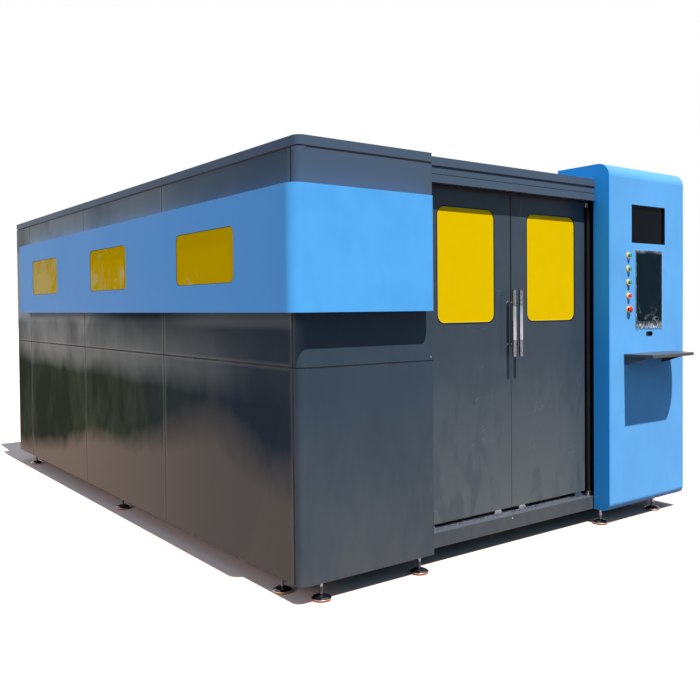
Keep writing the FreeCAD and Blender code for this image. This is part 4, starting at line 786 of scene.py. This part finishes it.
# %% Set the window gaskets
LEAF_FRONT, WINDOW_LEVEL, BAND_OUT = 115, 1530, 80
DOOR_HOLE, DOOR_ROUND, WALL_HOLE, WALL_ROUND = (440, 640), 49, (675, 285), 40
GASKET = [(-5, 0.05), (-4.5, 1.2), (-3.6, 1.6), (0.4, 1.6), (1.3, 1.1), (1.3, -1.9), (0.05, -1.9),
          (0.05, 0.05)]
BRIGHT_EDGE = [(1.4, -1.95), (1.7, -1.7), (5.6, -1.7), (5.9, -1.95)]
LIP = [(0.05, -0.1), (1.6, -0.1), (2.6, -0.7), (2.6, -1.95), (0.05, -1.95)]
SURROUNDS = (("gasket", GASKET, "navy_rubber"), ("bright_edge", BRIGHT_EDGE, "pane_edge"))
for leaf, middle in (("left_door", 1191), ("right_door", 1914)):
    hole = spot(middle, LEAF_FRONT, WINDOW_LEVEL)
    for part, section, finish in SURROUNDS:
        add_piece(f"{leaf}_{part}", [framed(hole, DOOR_HOLE, DOOR_ROUND, section)], finish, leaf, loop=True)
side_gaskets = []
for low, high in islands("side_windows"):
    middle = (low + high) / 2
    middle.x = corner.x - BAND_OUT * MM
    side_gaskets.append(framed(middle, WALL_HOLE, WALL_ROUND, LIP, LEFT))
add_piece("side_gaskets", side_gaskets, "navy_rubber", "machine", loop=True)
print("windows with a gasket:", 2 + len(side_gaskets))

# %% [markdown]
# ## Door pulls
# The middle of each bar pull is polished, where hands hold it, and its ends are stained and dull. The grip is
# a thin tube over the bar, so it is turned as a closed loop with no end faces. A bright sleeve covers each
# post. The doors meet on two narrow rubber seals, which make a dark line between the leaves.

# %% Finish the pulls and the meeting edges
PULL_FRONT, PULL_MIDDLE, POST_LEVELS = 63, 1201, (1081, 1321)
GRIP = [(12.55, -96.5), (12.8, -95.5), (12.85, -90), (12.85, 90), (12.8, 95.5), (12.55, 96.5)]
SLEEVE = [(6.05, 0), (7.6, 0), (7.6, 1), (7, 1.6), (7, 38), (6.05, 39)]
for side, across in (("left", 1524), ("right", 1581)):
    add_piece(f"{side}_pull_grip", [turned(GRIP, spot(across, PULL_FRONT, PULL_MIDDLE), UP, 40)],
              "polished_steel", f"{side}_door", loop=True)
    sleeves = [turned(SLEEVE, spot(across, LEAF_FRONT, level)) for level in POST_LEVELS]
    add_piece(f"{side}_pull_posts", sleeves, "bolt_steel", f"{side}_door", loop=True)

for side, start, end in (("left", 1547, 1552), ("right", 1553, 1558)):
    seal = block((start, LEAF_FRONT - 1.4, 1060), (end, LEAF_FRONT + 1.5, 1993), 0.8)
    add_piece(f"{side}_meeting_seal", [seal], "black_rubber", f"{side}_door")
print("pulls and seals done, posts at", POST_LEVELS)

# %% [markdown]
# ## Levelling feet
# A real screw thread is one long helix. Three lines of points wind up the rod together: the root, the crest
# and the next root, and faces join them. Each foot also has a bright rolled edge round its disc.

# %% Cut the threads
def thread_lines(at, radius, depth, pitch, length, around=18):
    """The root, the crest and the next root of a helical thread, as lines of points."""
    count = int(length / pitch * around)
    lines = []
    for lead, reach in ((0, 0), (pitch / 2, depth), (pitch, 0)):
        line = []
        for index in range(count + 1):
            angle = 2 * math.pi * index / around
            out = Vector((math.cos(angle), math.sin(angle), 0)) * (radius + reach)
            line.append(at + (out + Vector((0, 0, lead + pitch * index / around))) * MM)
        lines.append(line)
    return lines


THREAD_FOOT, DISC_FOOT = -59, -84
THREAD = {"radius": 8.02, "depth": 1.1, "pitch": 2.5, "length": 30}
ROLLED_EDGE = [(47.9, 0.2), (48.3, 0.5), (48.3, 3.4), (47.9, 3.9), (45.5, 4.5), (45.5, 3.9)]
threads, rolled_edges = [], []
for low, high in feet:
    middle = (low + high) / 2
    threads.append(thread_lines(Vector((middle.x, middle.y, corner.z + THREAD_FOOT * MM)), **THREAD))
    disc = Vector((middle.x, middle.y, corner.z + DISC_FOOT * MM))
    rolled_edges.append(turned(ROLLED_EDGE, disc, UP, 64))
add_piece("foot_threads", threads, "stem_steel", "machine", closed=False)
add_piece("foot_edges", rolled_edges, "bolt_steel", "machine", loop=True)

# %% [markdown]
# ## Seams
# Foam strip is squeezed out of the joints between the wall panels, under the roof cap and over the header,
# and it draws the machine's dark lines. The strips are wider than the gaps, so they are partly the joints'
# own dark and partly painted shade beside them, and the one on the header's step is painted shade. Each
# stands half a millimetre proud, and the upright one beside the round corner is the broadest. Each strip is a
# block from one end of its joint to the other.

# %% Fill the seams
PROUD, HALF_WIDE, CORNER_HALF_WIDE, FRONT_HALF_WIDE = 0.5, 4.5, 7, 3
FRONT_LEFT, FRONT_RIGHT, DOORWAY = 54, 829, (831, 2274)
UPRIGHT_RUNS = ((2, 1018), (1026, 1279), (1867, 2047))
strips = []
for y in WALL_SEAMS:
    half = CORNER_HALF_WIDE if y == WALL_SEAMS[0] else HALF_WIDE
    for low, high in UPRIGHT_RUNS:
        strips.append(block((-PROUD, y - half, low), (1, y + half, high), 0.2))
strips.append(block((-PROUD, 61, SEAM_LEVEL - HALF_WIDE), (1, 4828, SEAM_LEVEL + HALF_WIDE), 0.2))
strips.append(block((FRONT_LEFT, -PROUD, SEAM_LEVEL - FRONT_HALF_WIDE),
                    (FRONT_RIGHT, 1, SEAM_LEVEL + FRONT_HALF_WIDE), 0.2))
strips.append(block((DOORWAY[0], 62, 2049), (DOORWAY[1], 66.5, 2054), 0.3))
# The strip on the header's step is painted shade: the step's edge would catch light.
strips.append(block((DOORWAY[0], 64.4, 2007.5), (DOORWAY[1], 66.5, 2010), 0.1))
add_piece("seam_strips", strips, "black_rubber", "machine")
print("strips:", len(strips))

# %% [markdown]
# The strip under the cap follows the round front corner, so it is a small section carried along a path: down
# the side, round a quarter circle, and across the front. It reaches below the gap onto the wall, so it is
# partly a seal and partly a painted shadow of the cap. The header has a folded drip lip, whose shadow falls
# across the tops of the door windows. Brushes close the gaps over the leaves and beside the right one, and
# they keep sparks and smoke in. The brush over the leaves is also painted shade under the header.

# %% Seal the cap and the doorway
ARC_STEPS, CORNER_RADIUS = 12, FRONT_LEFT
path = [((-PROUD, 4769), (-1, 0)), ((-PROUD, CORNER_RADIUS), (-1, 0))]
for step in range(1, ARC_STEPS):
    angle = math.pi / 2 * step / ARC_STEPS
    out = (-math.cos(angle), -math.sin(angle))
    path.append((tuple(CORNER_RADIUS + part * (CORNER_RADIUS + PROUD) for part in out), out))
path += [((CORNER_RADIUS, -PROUD), (0, -1)), ((FRONT_RIGHT, -PROUD), (0, -1))]
# The section reaches below the gap onto the wall: a painted shadow of the cap.
CAP_SECTION = ((0, 2044), (0, 2053.5), (1.5, 2053.5), (1.5, 2044))
cap_rings = [[spot(x - out_x * inward, y - out_y * inward, level) for inward, level in CAP_SECTION]
             for (x, y), (out_x, out_y) in path]
add_piece("cap_seal", [cap_rings], "black_rubber", "machine")
drip = block((DOORWAY[0], 52, 1961), (DOORWAY[1], 66, 1963.5), 0.6)
add_piece("header_drip", [drip], "graphite_paint", "machine")
# The first brush is a seal and also painted shade under the header.
brushes = [block((840, 102, 1949), (2266, 113.5, 1962), 0.8),
           block((2252, 101, 114), (2273.5, 112, 1922), 0.8)]
add_piece("door_brushes", brushes, "black_rubber", "machine")
print("path points:", len(path), "brushes:", len(brushes))

# %% [markdown]
# ## Screws and small fittings
# Sheet housings are full of screws. A few show on the front: one on the sill and one at the end of the seam.
# The roof and the rear are held by rows of them, which only show from above and behind. The track has a stop
# at each end, and a small catch sits at the top of the doorway.

# %% Place the screws and fittings
SCREW, SMALL_SCREW = 5, 4
ROOF_LEVEL, REAR, FLANGE_FACE = 2098, 4830, 4842
OUTLET_X, OUTLET_LEVEL, BOLT_CIRCLE, BOLTS = 1552.5, 260, 113, 8
screws = [screw_head(spot(1520, 80, 62), FRONT, SCREW), screw_head(spot(815, 0, 1040), FRONT, SMALL_SCREW)]
for y in range(300, 4700, 400):
    screws += [screw_head(spot(x, y, ROOF_LEVEL), UP, SCREW) for x in (90, 3015)]
for level in (120, 700, 980, 1080, 1500, 1980):
    screws += [screw_head(spot(x, REAR, level), BACK, SCREW) for x in (60, 3045)]
for index in range(BOLTS):
    angle = 2 * math.pi / BOLTS * (index + 0.5)
    x = OUTLET_X + BOLT_CIRCLE * math.cos(angle)
    screws.append(screw_head(spot(x, FLANGE_FACE, OUTLET_LEVEL + BOLT_CIRCLE * math.sin(angle)), BACK, SCREW))
add_piece("housing_screws", screws, "bolt_steel", "machine")

fittings = [
    block((2248, 94, 81), (2272, 113, 112), 2),
    block((838, 104, 81), (862, 123, 104), 2),
    block((2243, 104, 1925), (2267, 113.5, 1960), 1.5),
]
add_piece("track_stops", fittings, "bolt_steel", "machine")
print("screws:", len(screws), "fittings:", len(fittings))

# %% [markdown]
# ## Inside
# With the doors open the drive shows. The racks have straight teeth of module 2, and three ground rings
# part the sections of the cutting head. The fume spigot at the back is rolled with a bead, so that a hose
# clamp cannot slide off.

# %% Detail the drive and the head
RACK_HEIGHT, TOOTH_PITCH = 23, 6.283
TOOTH = ((0, 0.02), (0.15, 2.2), (0.5, 2.2), (0.65, 0.02))
racks = [(low, high) for low, high in islands("bed_rails") if high.z - low.z < RACK_HEIGHT * MM]
teeth = []
for low, high in racks:
    lines = [[], []]
    for index in range(int((high.y - low.y) / MM / TOOTH_PITCH)):
        for part, rise in TOOTH:
            along = low.y + (index + part) * TOOTH_PITCH * MM
            for line, x in zip(lines, (low.x + 0.5 * MM, high.x - 0.5 * MM)):
                line.append(Vector((x, along, high.z + rise * MM)))
    teeth.append(lines)
add_piece("rack_teeth", teeth, "ground_steel", "machine", closed=False)

HEAD_RING = [(38.05, 0), (40, 0.5), (40, 8), (38.05, 8.5)]
RING_LEVELS = (150, 185, 290)
low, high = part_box("cutting_head")
head_foot = Vector(((low.x + high.x) / 2, (low.y + high.y) / 2, low.z))
head_rings = [turned(HEAD_RING, head_foot + Vector((0, 0, level)) * MM, UP, 48) for level in RING_LEVELS]
add_piece("head_rings", head_rings, "head_metal", "head", loop=True)

BEAD = [(100.05, -3), (102, -2), (103, 0), (102, 2), (100.05, 3)]
bead = turned(BEAD, spot(OUTLET_X, 4896, OUTLET_LEVEL), BACK, 64)
add_piece("outlet_bead", [bead], "duct_steel", "machine", loop=True)
print("racks:", len(racks), "head from", round(low.z, 3), "to", round(high.z, 3))

# %% [markdown]
# ## Floor and light
# The machine stood outdoors, with the sun high behind the viewer: the band's shadow drops more than twice as
# far as the band stands out. A sun lamp gives that, and an even blue sky fills the shade. Two wide, weak
# lamps stand for the bright surroundings at the left and at the back. Where the camera, a reflection or clear
# plastic sees it, the sky is white and the floor pale. For the light that they throw, the sky is blue and
# the floor is dark. The floor's pale tone is a little pink, which evens out the sky's blue where it is lit.

# %% Lay the floor and make the sky
SKY_LIGHT, SKY_BLUE, WHITE = 0.41, (0.32, 0.74, 1.0), (1.0, 1.0, 1.0)
LIT_FLOOR, SEEN_FLOOR, FLOOR_REACH, FLOOR_DROP = (0.06, 0.06, 0.06), (1.0, 0.68, 0.62), 60, 0.0005
world = bpy.data.worlds.new("sky")
bpy.context.scene.world = world
sky = Network(world)
view = sky.seen()
backdrop = sky.node(
    "ShaderNodeBackground", {},
    {"Color": sky.tint(view, SKY_BLUE, WHITE), "Strength": sky.spread(view, 0, 1, SKY_LIGHT, 1.0)},
)
sky.node("ShaderNodeOutputWorld", {}, {"Surface": backdrop})

floor_finish = Finish("pale_floor", Roughness=0.9, Specular_IOR_Level=0.0)
floor_finish.feed(Base_Color=floor_finish.tint(floor_finish.seen(), LIT_FLOOR, SEEN_FLOOR))
bm = bmesh.new()
bmesh.ops.create_grid(bm, x_segments=8, y_segments=8, size=FLOOR_REACH)
floor_mesh = bpy.data.meshes.new("floor")
bm.to_mesh(floor_mesh)
bm.free()
floor_mesh.materials.append(floor_finish.material)
floor = bpy.data.objects.new("floor", floor_mesh)
bpy.context.scene.collection.objects.link(floor)
floor.location.z = -FLOOR_DROP
print("floor:", 2 * FLOOR_REACH, "m wide")

# %% [markdown]
# Each lamp is a sun, so it shines evenly from one direction however far the machine reaches. Its own width in
# degrees softens the shadow: half a degree is the real sun, thirty or sixty is a bright stretch of sky.

# %% Set the light
LAMPS = (
    ("sun", (-0.05, -1.0, 2.14), 5.6, 0.5, (1.0, 0.965, 0.91)),
    ("left_glow", (-1.0, -0.03, 0.5), 0.75, 30, (1.0, 0.93, 0.88)),
    ("back_glow", (0.3, 1.0, 0.5), 0.7, 60, (0.95, 0.97, 1.0)),
)
for name, source, energy, spread, colour in LAMPS:
    lamp = bpy.data.lights.new(name, "SUN")
    lamp.energy, lamp.angle, lamp.color = energy, math.radians(spread), colour
    light = bpy.data.objects.new(name, lamp)
    bpy.context.scene.collection.objects.link(light)
    light.rotation_euler = Vector(source).to_track_quat("Z", "Y").to_euler()
print("lamps:", len(LAMPS))

# %% [markdown]
# ## Camera
# The camera was worked out from the photograph's straight edges: where it stood, which way it looked, and
# how much it was rolled. The picture was cropped after it was taken, which the small shift stands for.

# %% Set the camera
VIEWPOINT = (-2019.7, -3128.2, 1301.2)
YAW, PITCH_DOWN, ROLL = (math.radians(value) for value in (37.016, 1.257, 0.507))
FOCAL_PX, CENTRE_PX, PICTURE_PX, SENSOR = 807.918, (357.572, 325.093), 700, 36.0
ahead = Vector((math.sin(YAW) * math.cos(PITCH_DOWN), math.cos(YAW) * math.cos(PITCH_DOWN),
                -math.sin(PITCH_DOWN)))
sideways = Vector((math.cos(YAW), -math.sin(YAW), 0))
upright = sideways.cross(ahead)
right = sideways * math.cos(ROLL) - upright * math.sin(ROLL)
up = sideways * math.sin(ROLL) + upright * math.cos(ROLL)
lens = bpy.data.cameras.new("camera")
lens.sensor_width = SENSOR
lens.lens = FOCAL_PX / PICTURE_PX * SENSOR
lens.shift_x = (PICTURE_PX / 2 - CENTRE_PX[0]) / PICTURE_PX
lens.shift_y = (CENTRE_PX[1] - PICTURE_PX / 2) / PICTURE_PX
camera = bpy.data.objects.new("camera", lens)
bpy.context.scene.collection.objects.link(camera)
aim = Matrix((right, up, -ahead)).transposed().to_4x4()
camera.matrix_world = Matrix.Translation(spot(*VIEWPOINT)) @ aim
bpy.context.scene.camera = camera
bpy.context.scene.view_settings.view_transform = "Standard"
print("lens", round(lens.lens, 2), "mm, shift", round(lens.shift_x, 4), round(lens.shift_y, 4))

# %% [markdown]
# ## Finish
